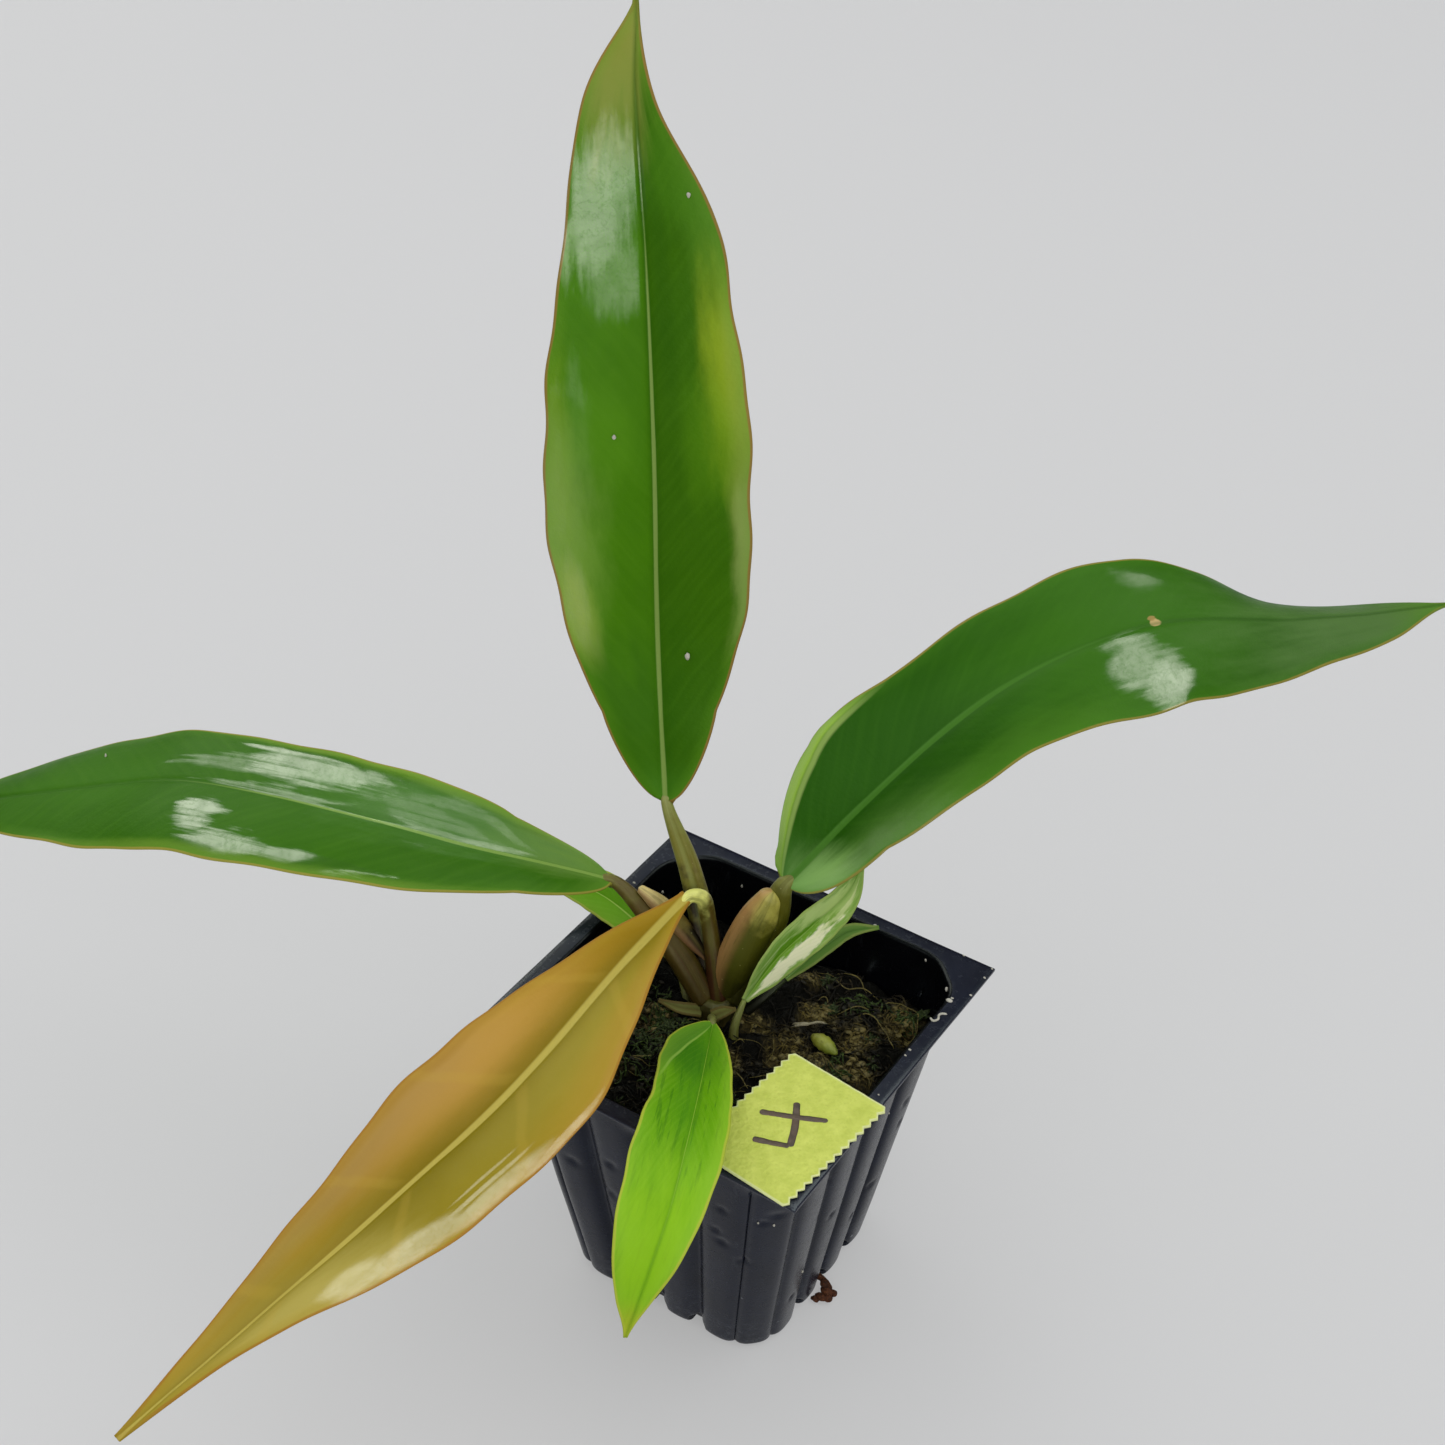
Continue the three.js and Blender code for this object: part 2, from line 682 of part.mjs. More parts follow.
function makeCrown(extra) {
  const points = CROWN_OUTLINE.map(
    ([share, below]) => new THREE.Vector2(CROWN_RADIUS * share + extra, CROWN_TOP - below),
  );
  points[0].y -= extra;
  points[points.length - 1].y += extra;
  points.unshift(new THREE.Vector2(0, points[0].y));
  points.push(new THREE.Vector2(0, points[points.length - 1].y));
  const crown = new THREE.LatheGeometry(points, 16);
  crown.rotateX(Math.PI / 2);
  crown.translate(CROWN.x, CROWN.y, 0);
  return crown;
}

function makeBud() {
  const bud = new THREE.SphereGeometry(BUD.radius, 12, 8);
  bud.scale(BUD.length / 2 / BUD.radius, 1, 1);
  return bud;
}

// The label: a strip of tape whose two ends were cut on a serrated blade

function makeTape() {
  const outline = new THREE.Shape();
  const step = TAPE_WIDTH / TAPE_TEETH;
  outline.moveTo(-TAPE_LENGTH / 2, -TAPE_WIDTH / 2);
  for (let tooth = 0; tooth < TAPE_TEETH; tooth += 1) {
    const y = -TAPE_WIDTH / 2 + tooth * step;
    outline.lineTo(TAPE_LENGTH / 2, y);
    outline.lineTo(TAPE_LENGTH / 2 + TAPE_TOOTH, y + step / 2);
  }
  outline.lineTo(TAPE_LENGTH / 2, TAPE_WIDTH / 2);
  for (let tooth = TAPE_TEETH; tooth > 0; tooth -= 1) {
    const y = -TAPE_WIDTH / 2 + tooth * step;
    outline.lineTo(-TAPE_LENGTH / 2, y);
    outline.lineTo(-TAPE_LENGTH / 2 - TAPE_TOOTH, y - step / 2);
  }
  return new THREE.ExtrudeGeometry(outline, { depth: TAPE_THICKNESS, bevelEnabled: false });
}

// The whole plant

const plant = new THREE.Group();

function place(name, geometry, material) {
  const mesh = new THREE.Mesh(geometry, material);
  mesh.name = name;
  plant.add(mesh);
  return mesh;
}

function stalk(spec, extra = 0) {
  return tube({ steps: 8, sides: 10, ...spec, extra });
}

const crownCutter = makeCrown(CLEAR);
const stalkCutters = [crownCutter];

place('pot', makePot(), FINISH.pot);
place('crown', makeCrown(0), FINISH.stem);
for (const [name, spec] of Object.entries(PETIOLES)) {
  place(`petiole_${name}`, cut(stalk(spec), ...stalkCutters), FINISH.petiole);
  stalkCutters.push(stalk(spec, CLEAR));
}
for (const [name, spec] of Object.entries(SHEATHS)) {
  place(`sheath_${name}`, cut(stalk(spec), ...stalkCutters), FINISH.sheath);
  stalkCutters.push(stalk(spec, CLEAR));
}
for (const [name, leaf] of Object.entries(SMALL_LEAVES)) {
  const spec = { points: leaf.stalk, radii: SMALL_STALK, steps: 5, sides: 8, up: leaf.faces[0] };
  place(`stalk_${name}`, cut(tube(spec), ...stalkCutters), FINISH.petiole);
  stalkCutters.push(tube({ ...spec, extra: CLEAR }));
  const blade = makeBlade({ ...leaf, ribDepth: SMALL_RIB }, SMALL_LEAF_STEPS);
  place(`blade_${name}`, cut(blade, ...stalkCutters), leaf.material);
}
for (const [name, leaf] of Object.entries(LONG_LEAVES)) {
  const blade = makeBlade(leaf, LONG_LEAF_STEPS);
  place(`blade_${name}`, cut(blade, ...stalkCutters), leaf.material);
}
for (const [name, rib] of Object.entries(BRACTS)) {
  const blade = makeBlade({ ...BRACT, rib }, BRACT_STEPS, SCALE_COLUMNS);
  place(`bract_${name}`, cut(blade, ...stalkCutters), FINISH.bract);
}

place('roots', makeRoots(0), FINISH.roots);
place('moss', makeMoss([makeRoots(CLEAR), ...stalkCutters]), FINISH.moss);

const label = place('label', makeTape(), FINISH.tape);
label.position.set(...TAPE_CENTRE, POT_HEIGHT + CLEAR);
label.rotation.z = radians(TAPE_TURN);

const bud = place('bud', makeBud(), FINISH.bud);
bud.position.set(...BUD.at);
bud.rotation.z = radians(BUD.turn);

export default plant;
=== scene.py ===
"""Looks of a potted marbled philodendron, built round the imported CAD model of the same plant.

The tables give millimetres, as the part's source does, and every mesh is made in metres in the
same frame: the origin is the middle of the pot's flat underside, +Z is up, and the pot's sides run
along X and Y. Each piece rides on the body "root", and most stand for CAD solids. A map's unit is
SPAN_UNIT or RIM_UNIT millimetres.
"""

import sys

import itertools
import logging
import math
from dataclasses import dataclass
from enum import Enum

import bpy
import numpy as np
from mathutils import Matrix, Vector

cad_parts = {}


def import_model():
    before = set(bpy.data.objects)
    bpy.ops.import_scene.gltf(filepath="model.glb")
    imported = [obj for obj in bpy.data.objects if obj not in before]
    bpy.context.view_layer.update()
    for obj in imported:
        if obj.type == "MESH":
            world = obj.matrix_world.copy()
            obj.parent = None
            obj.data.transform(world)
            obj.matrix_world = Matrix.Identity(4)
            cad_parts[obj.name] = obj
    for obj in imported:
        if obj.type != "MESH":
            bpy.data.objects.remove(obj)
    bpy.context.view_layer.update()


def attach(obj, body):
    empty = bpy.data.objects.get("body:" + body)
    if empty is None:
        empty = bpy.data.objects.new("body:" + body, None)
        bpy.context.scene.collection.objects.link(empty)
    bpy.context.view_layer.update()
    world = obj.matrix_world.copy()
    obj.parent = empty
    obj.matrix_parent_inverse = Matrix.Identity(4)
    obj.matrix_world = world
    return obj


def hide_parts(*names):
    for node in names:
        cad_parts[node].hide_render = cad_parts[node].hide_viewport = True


log = logging.getLogger("philodendron")

MM = 0.001
SHARE_MAP = "share"
SPAN_MAP = "span"
RIM_MAP = "rim"
SPAN_UNIT = 100.0
RIM_UNIT = 10.0
TUBE_ROUND = 0.12
QUARTERS = ((1, 0), (0, 1), (-1, 0), (0, -1))

Array = np.ndarray
Point = tuple[float, float, float]
Values = tuple[float, ...]
Points = tuple[Point, ...]


# Numbers and curves


def smooth(x: Array | float, low: float, high: float) -> Array:
    """A soft step from 0 at low to 1 at high."""
    share = np.clip((np.asarray(x, float) - low) / (high - low), 0.0, 1.0)
    return share * share * (3.0 - 2.0 * share)


def unit(vectors: Array) -> Array:
    """The same directions with length 1."""
    return vectors / np.maximum(np.linalg.norm(vectors, axis=-1, keepdims=True), 1e-12)


def profile(values: Values, t: Array) -> Array:
    """Reads a short list of values spread evenly from 0 to 1, with a smooth curve between them.

    Args:
        values: the values, first at 0 and last at 1.
        t: where to read them.

    Returns:
        One number for each number of t.
    """
    knots = np.asarray(values, float)
    last = len(knots) - 1
    place = np.clip(t, 0.0, 1.0) * last
    i = np.minimum(np.floor(place).astype(int), last - 1)
    f = place - i
    before, a = knots[np.maximum(i - 1, 0)], knots[i]
    b, after = knots[i + 1], knots[np.minimum(i + 2, last)]
    bend = 2 * before - 5 * a + 4 * b - after
    return a + 0.5 * f * (b - before + f * (bend + f * (3 * (a - b) + after - before)))


class Grain:
    """Smooth random values in space that are the same at every run."""

    def __init__(self, seed: int, cells: int = 28) -> None:
        """Fills a lattice that repeats after `cells` steps each way."""
        self.cells = cells
        self.table = np.random.default_rng(seed).uniform(-1.0, 1.0, (cells,) * 3)

    def at(self, points: Array) -> Array:
        """Reads the grain.

        Args:
            points: places in lattice steps, with 3 numbers each in the last axis.

        Returns:
            Values from -1 to 1.
        """
        base = np.floor(points).astype(int)
        f = points - base
        f = f * f * (3.0 - 2.0 * f)
        total = np.zeros(points.shape[:-1])
        for corner in itertools.product((0, 1), repeat=3):
            at = (base + corner) % self.cells
            weight = np.prod(np.where(np.array(corner) == 1, f, 1.0 - f), axis=-1)
            total += weight * self.table[at[..., 0], at[..., 1], at[..., 2]]
        return total

    def flat(self, x: Array, y: Array, layer: float = 0.0) -> Array:
        """Reads the grain on a plane, where `layer` picks another pattern."""
        return self.at(np.stack([x, y, np.full_like(x, layer)], axis=-1))


class Curve:
    """A smooth curve through points, read by its share of the length."""

    fine = 160

    def __init__(self, points: Points) -> None:
        """Samples a centripetal spline.

        Args:
            points: the knots.
        """
        knots = np.asarray(points, float)
        knots = np.vstack([2 * knots[0] - knots[1], knots, 2 * knots[-1] - knots[-2]])
        f = np.linspace(0.0, 1.0, self.fine, endpoint=False)[:, None]
        runs = [self._stretch(knots[i - 1 : i + 3], f) for i in range(1, len(knots) - 2)]
        self.points = np.vstack([*runs, knots[-2:-1]])
        steps = np.linalg.norm(np.diff(self.points, axis=0), axis=1)
        self.reach = np.concatenate([[0.0], np.cumsum(steps)])
        self.length = float(self.reach[-1])

    @staticmethod
    def _stretch(knots: Array, f: Array) -> Array:
        """Points on one stretch.

        Args:
            knots: four knots, of which the second and third bound the stretch.
            f: shares of the stretch.

        Returns:
            The points.
        """
        d0, d1, d2 = np.sqrt(np.linalg.norm(np.diff(knots, axis=0), axis=1))
        a, b, c, d = knots
        out = ((b - a) / d0 - (c - a) / (d0 + d1) + (c - b) / d1) * d1
        into = ((c - b) / d1 - (d - b) / (d1 + d2) + (d - c) / d2) * d1
        square, cube = 3 * (c - b) - 2 * out - into, 2 * (b - c) + out + into
        return b + out * f + square * f**2 + cube * f**3

    def at(self, t: Array) -> Array:
        """Points at shares of the length."""
        reach = np.clip(t, 0.0, 1.0) * self.length
        return np.stack([np.interp(reach, self.reach, axis) for axis in self.points.T], axis=-1)

    def along(self, t: Array) -> Array:
        """Directions of the curve at shares of the length."""
        step = 0.004
        return unit(self.at(np.minimum(t + step, 1.0)) - self.at(np.maximum(t - step, 0.0)))


def frame_at(curve: Curve, t: Array, up: Array) -> tuple[Array, Array]:
    """The directions across a curve and away from its upper face.

    Args:
        curve: the curve.
        t: shares of its length.
        up: the side that the upper face looks to, one for all or one each.

    Returns:
        Two arrays of unit vectors, across and face.
    """
    along = curve.along(t)
    across = unit(np.cross(along, np.broadcast_to(up, along.shape)))
    return across, unit(np.cross(across, along))


# Meshes


class Body:
    """Collects points, faces and their maps, and makes one mesh object of them."""

    def __init__(self, name: str) -> None:
        """Starts an empty body.

        Args:
            name: the piece's name.
        """
        self.name = name
        self.points: list[Array] = []
        self.faces: list[Array] = []
        self.kinds: list[Array] = []
        self.maps: dict[str, list[Array]] = {}
        self.count = 0

    def add(
        self, points: Array, faces: list[Array], kind: int = 0, maps: dict[str, Array] | None = None
    ) -> None:
        """Adds points in millimetres and the faces between them.

        Args:
            points: the new points.
            faces: arrays of faces with equally many corners each, counted from the first new point.
            kind: which of the body's materials the faces take.
            maps: two numbers for each new point, by the map's name.
        """
        flat = np.asarray(points, float).reshape(-1, 3)
        self.points.append(flat)
        for block in faces:
            self.faces.append(block + self.count)
            self.kinds.append(np.full(len(block), kind))
        for name, values in (maps or {}).items():
            self.maps.setdefault(name, []).append(values.reshape(-1, 2))
        self.count += len(flat)

    def add_rings(self, rings: Array, maps: dict[str, Array] | None = None) -> None:
        """Adds a closed tube of rings, with a fan over each end.

        Args:
            rings: the points, as (ring, point, 3).
            maps: the maps by name, with the middles of the two ends last.
        """
        ends = np.stack([rings[0].mean(axis=0), rings[-1].mean(axis=0)])
        points = np.vstack([rings.reshape(-1, 3), ends])
        self.add(points, ring_faces(*rings.shape[:2]), maps=maps)

    def build(self, materials: list[bpy.types.Material]) -> bpy.types.Object:
        """Makes the mesh object, smooth shaded, with its maps.

        Args:
            materials: the body's materials, in the order of its kinds.

        Returns:
            The object.
        """
        points = np.vstack(self.points) * MM
        faces = [face for block in self.faces for face in block.tolist()]
        mesh = bpy.data.meshes.new(self.name)
        mesh.from_pydata(points.tolist(), [], faces)
        corners = np.concatenate([block.ravel() for block in self.faces])
        for name, values in self.maps.items():
            layer = mesh.uv_layers.new(name=name)
            layer.data.foreach_set("uv", np.vstack(values)[corners].astype(np.float32).ravel())
        for material in materials:
            mesh.materials.append(material)
        mesh.polygons.foreach_set("material_index", np.concatenate(self.kinds).astype(np.int32))
        mesh.polygons.foreach_set("use_smooth", np.ones(len(faces), bool))
        mesh.update()
        obj = bpy.data.objects.new(self.name, mesh)
        bpy.context.scene.collection.objects.link(obj)
        return obj


def ring_faces(rings: int, sides: int) -> list[Array]:
    """Faces of a closed tube of rings, wound anticlockwise as seen from the last ring.

    Args:
        rings: how many rings.
        sides: points in a ring.

    Returns:
        The quads, and the triangles of the fans about two points after the last ring.
    """
    i, j = np.meshgrid(np.arange(rings - 1), np.arange(sides), indexing="ij")
    a, b = i * sides + j, i * sides + (j + 1) % sides
    quads = np.stack([a, b, b + sides, a + sides], axis=-1).reshape(-1, 4)
    here, onward = np.arange(sides), (np.arange(sides) + 1) % sides
    last, start, end = (rings - 1) * sides, rings * sides, rings * sides + 1
    fans = [
        np.stack([np.full(sides, start), onward, here], axis=-1),
        np.stack([np.full(sides, end), last + here, last + onward], axis=-1),
    ]
    return [quads, np.vstack(fans)]


def around(sides: int) -> Array:
    """Angles spread evenly round a ring."""
    return np.linspace(0.0, 2 * np.pi, sides, endpoint=False)


def turned(x: Array, y: Array, degrees: float) -> tuple[Array, Array]:
    """Places turned anticlockwise about the origin."""
    c, s = math.cos(math.radians(degrees)), math.sin(math.radians(degrees))
    return x * c - y * s, x * s + y * c


def tube_rings(
    points: Points,
    radii: Values,
    up: Point,
    rings: int = 56,
    sides: int = 28,
    channel: float = 0.0,
    wide: float = 1.0,
    ridges: float = 0.0,
) -> tuple[Array, Array, float]:
    """Rings of a round or channelled stalk along a curve, with rounded ends.

    Args:
        points: the curve's knots.
        radii: radii from the foot to the end.
        up: the side with the channel.
        rings: how many rings.
        sides: points in a ring.
        channel: depth of the channel as a share of the radius.
        wide: how much wider than deep the stalk is.
        ridges: height of the fine lengthwise ridges, in mm.

    Returns:
        The rings, the share of the length of each, and the length in mm.
    """
    curve = Curve(points)
    t = np.linspace(0.0, 1.0, rings)
    across, face = frame_at(curve, t, np.asarray(up, float))
    radius = profile(radii, t)
    cap = np.minimum(t, 1.0 - t) * curve.length
    radius *= np.sqrt(1.0 - np.clip(1.0 - cap / (0.8 * radius.min() + 0.2), 0.0, 0.97) ** 2)
    angle = around(sides)
    dip = channel * np.maximum(0.0, np.sin(angle)) ** 6
    ripple = 1.0 + ridges * np.sin(7 * angle)[None, :] * np.sin(3 * np.pi * t + 1)[:, None] ** 2
    r = radius[:, None] * ripple
    offset = -(np.cos(angle) * r * wide)[..., None] * across[:, None]
    offset = offset + (np.sin(angle) * r - r * dip)[..., None] * face[:, None]
    return curve.at(t)[:, None] + offset, t, curve.length


def tube_maps(t: Array, sides: int, length: float) -> dict[str, Array]:
    """Maps for a closed tube: round it and along it, as shares and in mm.

    Args:
        t: each ring's share of the length.
        sides: points in a ring.
        length: the tube's length in mm.

    Returns:
        The two maps by name.
    """
    turn = np.tile(around(sides) / (2 * np.pi), len(t))
    along = np.repeat(t, sides)
    share = np.vstack([np.stack([turn, along], axis=-1), [[0.5, 0.0], [0.5, 1.0]]])
    return {SHARE_MAP: share, SPAN_MAP: share * [TUBE_ROUND, length / SPAN_UNIT]}


# Node trees

Socket = bpy.types.NodeSocket


def tint(code: str) -> tuple[float, ...]:
    """A colour from its six-digit code, as the shader reads it."""
    parts = [int(code[i : i + 2], 16) / 255.0 for i in (1, 3, 5)]
    return (*[c / 12.92 if c <= 0.04045 else ((c + 0.055) / 1.055) ** 2.4 for c in parts], 1.0)


class Wiring:
    """Lays nodes in one tree and joins them. Where it takes an object, that is a value or a socket."""

    def __init__(self, tree: bpy.types.NodeTree) -> None:
        """Works on the given tree."""
        self.tree = tree
        self.laid = 0

    def add(
        self, kind: str, inputs: dict[int | str, object] | None = None, **settings: object
    ) -> bpy.types.Node:
        """Adds a node.

        Args:
            kind: the node's type.
            inputs: what its inputs take, by place or name.
            **settings: the node's own settings.

        Returns:
            The node.
        """
        node = self.tree.nodes.new(kind)
        node.location = (180 * (self.laid % 12), -220 * (self.laid // 12))
        self.laid += 1
        for name, value in settings.items():
            setattr(node, name, value)
        for place, value in (inputs or {}).items():
            self.put(node.inputs[place], value)
        return node

    def put(self, socket: Socket, value: object) -> None:
        """Links a socket to another, or sets its value.

        Args:
            socket: a node's input.
            value: another node's output, or a plain value.
        """
        if isinstance(value, bpy.types.NodeSocket):
            self.tree.links.new(value, socket)
        elif value is not None:
            socket.default_value = value

    def math(self, operation: str, a: object, b: object = None, clamp: bool = False) -> Socket:
        """One sum on one or two numbers."""
        node = self.add("ShaderNodeMath", {0: a, 1: b}, operation=operation, use_clamp=clamp)
        return node.outputs[0]

    def times(self, a: object, b: object) -> Socket:
        """The product of two numbers."""
        return self.math("MULTIPLY", a, b)

    def plus(self, a: object, b: object) -> Socket:
        """The sum of two numbers."""
        return self.math("ADD", a, b)

    def minus(self, a: object, b: object) -> Socket:
        """What is left of a number without another."""
        return self.math("SUBTRACT", a, b)

    def falling(self, value: object, width: object) -> Socket:
        """A number that falls from 1 where the value is 0 to 0 where it is `width`."""
        return self.math("SUBTRACT", 1.0, self.math("DIVIDE", value, width), True)

    def sums(self, operation: str, a: object, b: object = None) -> Socket:
        """One sum on one or two vectors.

        Args:
            operation: what the node does.
            a: the first vector.
            b: the second vector, if any.

        Returns:
            The result.
        """
        second = "Scale" if operation == "SCALE" else 1
        node = self.add("ShaderNodeVectorMath", {0: a, second: b}, operation=operation)
        return node.outputs["Value" if operation == "LENGTH" else "Vector"]

    def mix(self, share: object, a: object, b: object) -> Socket:
        """A colour between two."""
        return self.add("ShaderNodeMix", {0: share, 6: a, 7: b}, data_type="RGBA").outputs[2]

    def paint(self, colour: Socket, code: str, mask: Socket, strength: float = 1.0) -> Socket:
        """Lays the colour of a code over another, by a mask and its strength."""
        return self.mix(mask if strength == 1.0 else self.times(mask, strength), colour, tint(code))

    def step(
        self, value: object, low: float, high: float, to_low: float = 0.0, to_high: float = 1.0
    ) -> Socket:
        """A soft step of a value."""
        inputs = dict(enumerate((value, low, high, to_low, to_high)))
        return self.add("ShaderNodeMapRange", inputs, interpolation_type="SMOOTHSTEP").outputs[0]

    def noise(
        self, place: object, scale: object, detail: float = 2.0, rough: float = 0.5, warp: float = 0
    ) -> Socket:
        """Soft noise from 0 to 1."""
        inputs = {"Vector": place, "Scale": scale, "Detail": detail, "Roughness": rough}
        return self.add("ShaderNodeTexNoise", {**inputs, "Distortion": warp}).outputs[0]

    def cells(self, place: object, scale: object) -> bpy.types.Node:
        """A cell pattern."""
        return self.add("ShaderNodeTexVoronoi", {"Vector": place, "Scale": scale})

    def split(self, vector: object) -> tuple[Socket, Socket, Socket]:
        """The three numbers of a vector."""
        return tuple(self.add("ShaderNodeSeparateXYZ", {0: vector}).outputs)

    def joined(self, x: object, y: object) -> Socket:
        """A vector of two numbers and 0."""
        return self.add("ShaderNodeCombineXYZ", {0: x, 1: y}).outputs[0]

    def uv(self, name: str) -> Socket:
        """One of the mesh's maps."""
        return self.add("ShaderNodeUVMap", uv_map=name).outputs[0]

    def place(self) -> Socket:
        """The point on the piece, in metres."""
        return self.add("ShaderNodeTexCoord").outputs["Object"]

    def bump(self, height: object, distance: float) -> Socket:
        """A normal from a height, which is `distance` metres high where it is 1."""
        return self.add("ShaderNodeBump", {"Height": height, "Distance": distance}).outputs[0]

    def use(self, effect: "Effect", **inputs: object) -> dict[str, Socket]:
        """Places a shared effect with its own values, and gives its outputs by name.

        Args:
            effect: the effect.
            **inputs: its inputs by name.

        Returns:
            The outputs by name.
        """
        node = self.add("ShaderNodeGroup", node_tree=effect.value.tree())
        for name, value in inputs.items():
            self.put(node.inputs[name], value)
        return {socket.name: socket for socket in node.outputs}


class SharedEffect:
    """A shader node group that is made once, and that puts out numbers over the surface.

    Its inputs are given with their first values, where a tuple or None stands for a vector.
    """

    name = "effect"
    inputs: dict[str, object] = {}

    def tree(self) -> bpy.types.NodeTree:
        """The group's tree, made at its first use.

        Returns:
            The tree.
        """
        made = bpy.data.node_groups.get(self.name)
        if made:
            return made
        tree = bpy.data.node_groups.new(self.name, "ShaderNodeTree")
        for name, value in self.inputs.items():
            kind = "NodeSocketFloat" if isinstance(value, float) else "NodeSocketVector"
            socket = tree.interface.new_socket(name=name, in_out="INPUT", socket_type=kind)
            if value is not None:
                socket.default_value = value
        wires = Wiring(tree)
        source = wires.add("NodeGroupInput")
        results = self.wire(wires, {s.name: s for s in source.outputs if s.name})
        for name in results:
            tree.interface.new_socket(name=name, in_out="OUTPUT", socket_type="NodeSocketFloat")
        wires.add("NodeGroupOutput", results)
        return tree

    def wire(self, wires: Wiring, given: dict[str, Socket]) -> dict[str, Socket]:
        """Lays the group's nodes.

        Args:
            wires: the tree.
            given: the group's inputs by name.

        Returns:
            The group's outputs by name.
        """
        raise NotImplementedError


class BlotchEffect(SharedEffect):
    """One soft-edged patch at a place on a map, with a ragged outline."""

    name = "blotch"
    inputs = {
        "Place": None,
        "Centre": None,
        "Size": (0.1, 0.1, 1.0),
        "Draw": (2.4, 0.9, 1.0),
        "Ragged": 0.4,
        "Softness": 0.6,
    }

    def wire(self, wires: Wiring, given: dict[str, Socket]) -> dict[str, Socket]:
        """An ellipse whose radius wanders.

        Args:
            wires: the group's tree.
            given: the group's inputs by name.

        Returns:
            The group's outputs by name.
        """
        off = wires.sums("SUBTRACT", given["Place"], given["Centre"])
        reach = wires.sums("LENGTH", wires.sums("DIVIDE", off, given["Size"]))
        drawn = wires.sums("MULTIPLY", given["Place"], given["Draw"])
        wander = wires.times(wires.minus(wires.noise(drawn, 9.0, 4.0, 0.6), 0.5), given["Ragged"])
        reach = wires.plus(reach, wires.times(wander, 3.0))
        edge = wires.math("DIVIDE", wires.minus(1.0, reach), given["Softness"])
        return {"Mask": wires.step(wires.plus(edge, 0.5), 0.0, 1.0)}


class VeinEffect(SharedEffect):
    """A leaf's midrib, the painted shade in its crease, and side veins, from its shares and its spans.
    """

    name = "veins"
    inputs = {
        "Share": None,
        "Span": None,
        "Rib": 0.8,
        "Spacing": 6.0,
        "Lean": 1.4,
        "Fade": 0.6,
        "Sharp": 14.0,
    }

    def wire(self, wires: Wiring, given: dict[str, Socket]) -> dict[str, Socket]:
        """Lines that leave the midrib and lean towards the tip.

        Args:
            wires: the group's tree.
            given: the group's inputs by name.

        Returns:
            The group's outputs by name.
        """
        across, along, _ = wires.split(wires.sums("SCALE", given["Span"], SPAN_UNIT))
        _, share, _ = wires.split(given["Share"])
        reach = wires.math("ABSOLUTE", across)
        wander = wires.noise(wires.sums("SCALE", given["Span"], 3.0), 2.0, 3.0)
        wander = wires.times(wires.minus(wander, 0.5), 5.0)
        phase = wires.plus(wires.minus(along, wires.times(reach, given["Lean"])), wander)
        turn = wires.times(wires.math("DIVIDE", phase, given["Spacing"]), 2 * math.pi)
        crest = wires.step(wires.math("COSINE", turn), -1.0, 1.0)
        lines = wires.math("POWER", crest, given["Sharp"])
        fine = wires.joined(wires.times(phase, 0.42), wires.times(across, 0.09))
        width = wires.times(given["Rib"], wires.step(share, 0.0, 1.0, 1.15, 0.35))
        faded = wires.step(wires.minus(share, given["Fade"]), -0.2, 0.25, 1.0, 0.12)
        return {
            "Rib": wires.step(wires.times(wires.falling(reach, width), faded), 0.05, 0.5),
            # painted shade: darker along the sunken crease of the midrib
            "CreaseShade": wires.step(wires.falling(reach, 0.9), 0.0, 1.0),
            "Veins": wires.times(lines, wires.step(reach, 0.5, 2.5)),
            "Streaks": wires.noise(fine, 1.0, 3.0, 0.55),
        }


class MottleEffect(SharedEffect):
    """Two sizes of soft noise, for colour and gloss that change over a surface."""

    name = "mottle"
    inputs = {"Place": None, "Scale": 40.0, "Contrast": 1.0}

    def wire(self, wires: Wiring, given: dict[str, Socket]) -> dict[str, Socket]:
        """Broad noise that is stretched in contrast, and finer noise beside it.

        Args:
            wires: the group's tree.
            given: the group's inputs by name.

        Returns:
            The group's outputs by name.
        """
        broad = wires.noise(given["Place"], given["Scale"], 3.0, 0.55)
        broad = wires.times(wires.minus(broad, 0.5), given["Contrast"])
        fine = wires.noise(given["Place"], wires.times(given["Scale"], 7.0), 4.0, 0.6)
        return {"Value": wires.math("ADD", broad, 0.5, True), "Fine": fine}


class SpeckEffect(SharedEffect):
    """Small scattered specks."""

    name = "specks"
    inputs = {"Place": None, "Scale": 300.0, "Size": 0.1, "Share": 0.2}

    def wire(self, wires: Wiring, given: dict[str, Socket]) -> dict[str, Socket]:
        """A dot in a share of the cells of a cell pattern.

        Args:
            wires: the group's tree.
            given: the group's inputs by name.

        Returns:
            The group's outputs by name.
        """
        cells = wires.cells(given["Place"], given["Scale"])
        first, second, _ = wires.split(cells.outputs["Color"])
        chosen = wires.math("LESS_THAN", first, given["Share"])
        dot = wires.minus(wires.times(given["Size"], second), cells.outputs["Distance"])
        return {"Mask": wires.times(wires.step(dot, 0.0, 0.05), chosen)}


class MarginEffect(SharedEffect):
    """The coloured line along a leaf's margin."""

    name = "margin"
    inputs = {"Rim": None, "Share": None, "Width": 0.5}

    def wire(self, wires: Wiring, given: dict[str, Socket]) -> dict[str, Socket]:
        """A thin line that wavers, and a wide soft one inside it.

        Args:
            wires: the group's tree.
            given: the group's inputs by name.

        Returns:
            The group's outputs by name.
        """
        reach = wires.times(wires.split(given["Rim"])[0], RIM_UNIT)
        waver = wires.noise(given["Share"], 14.0, 3.0)
        width = wires.times(given["Width"], wires.plus(waver, 0.5))
        line = wires.step(wires.falling(reach, width), 0.0, 0.5)
        return {"Line": line, "Glow": wires.falling(reach, 3.2)}


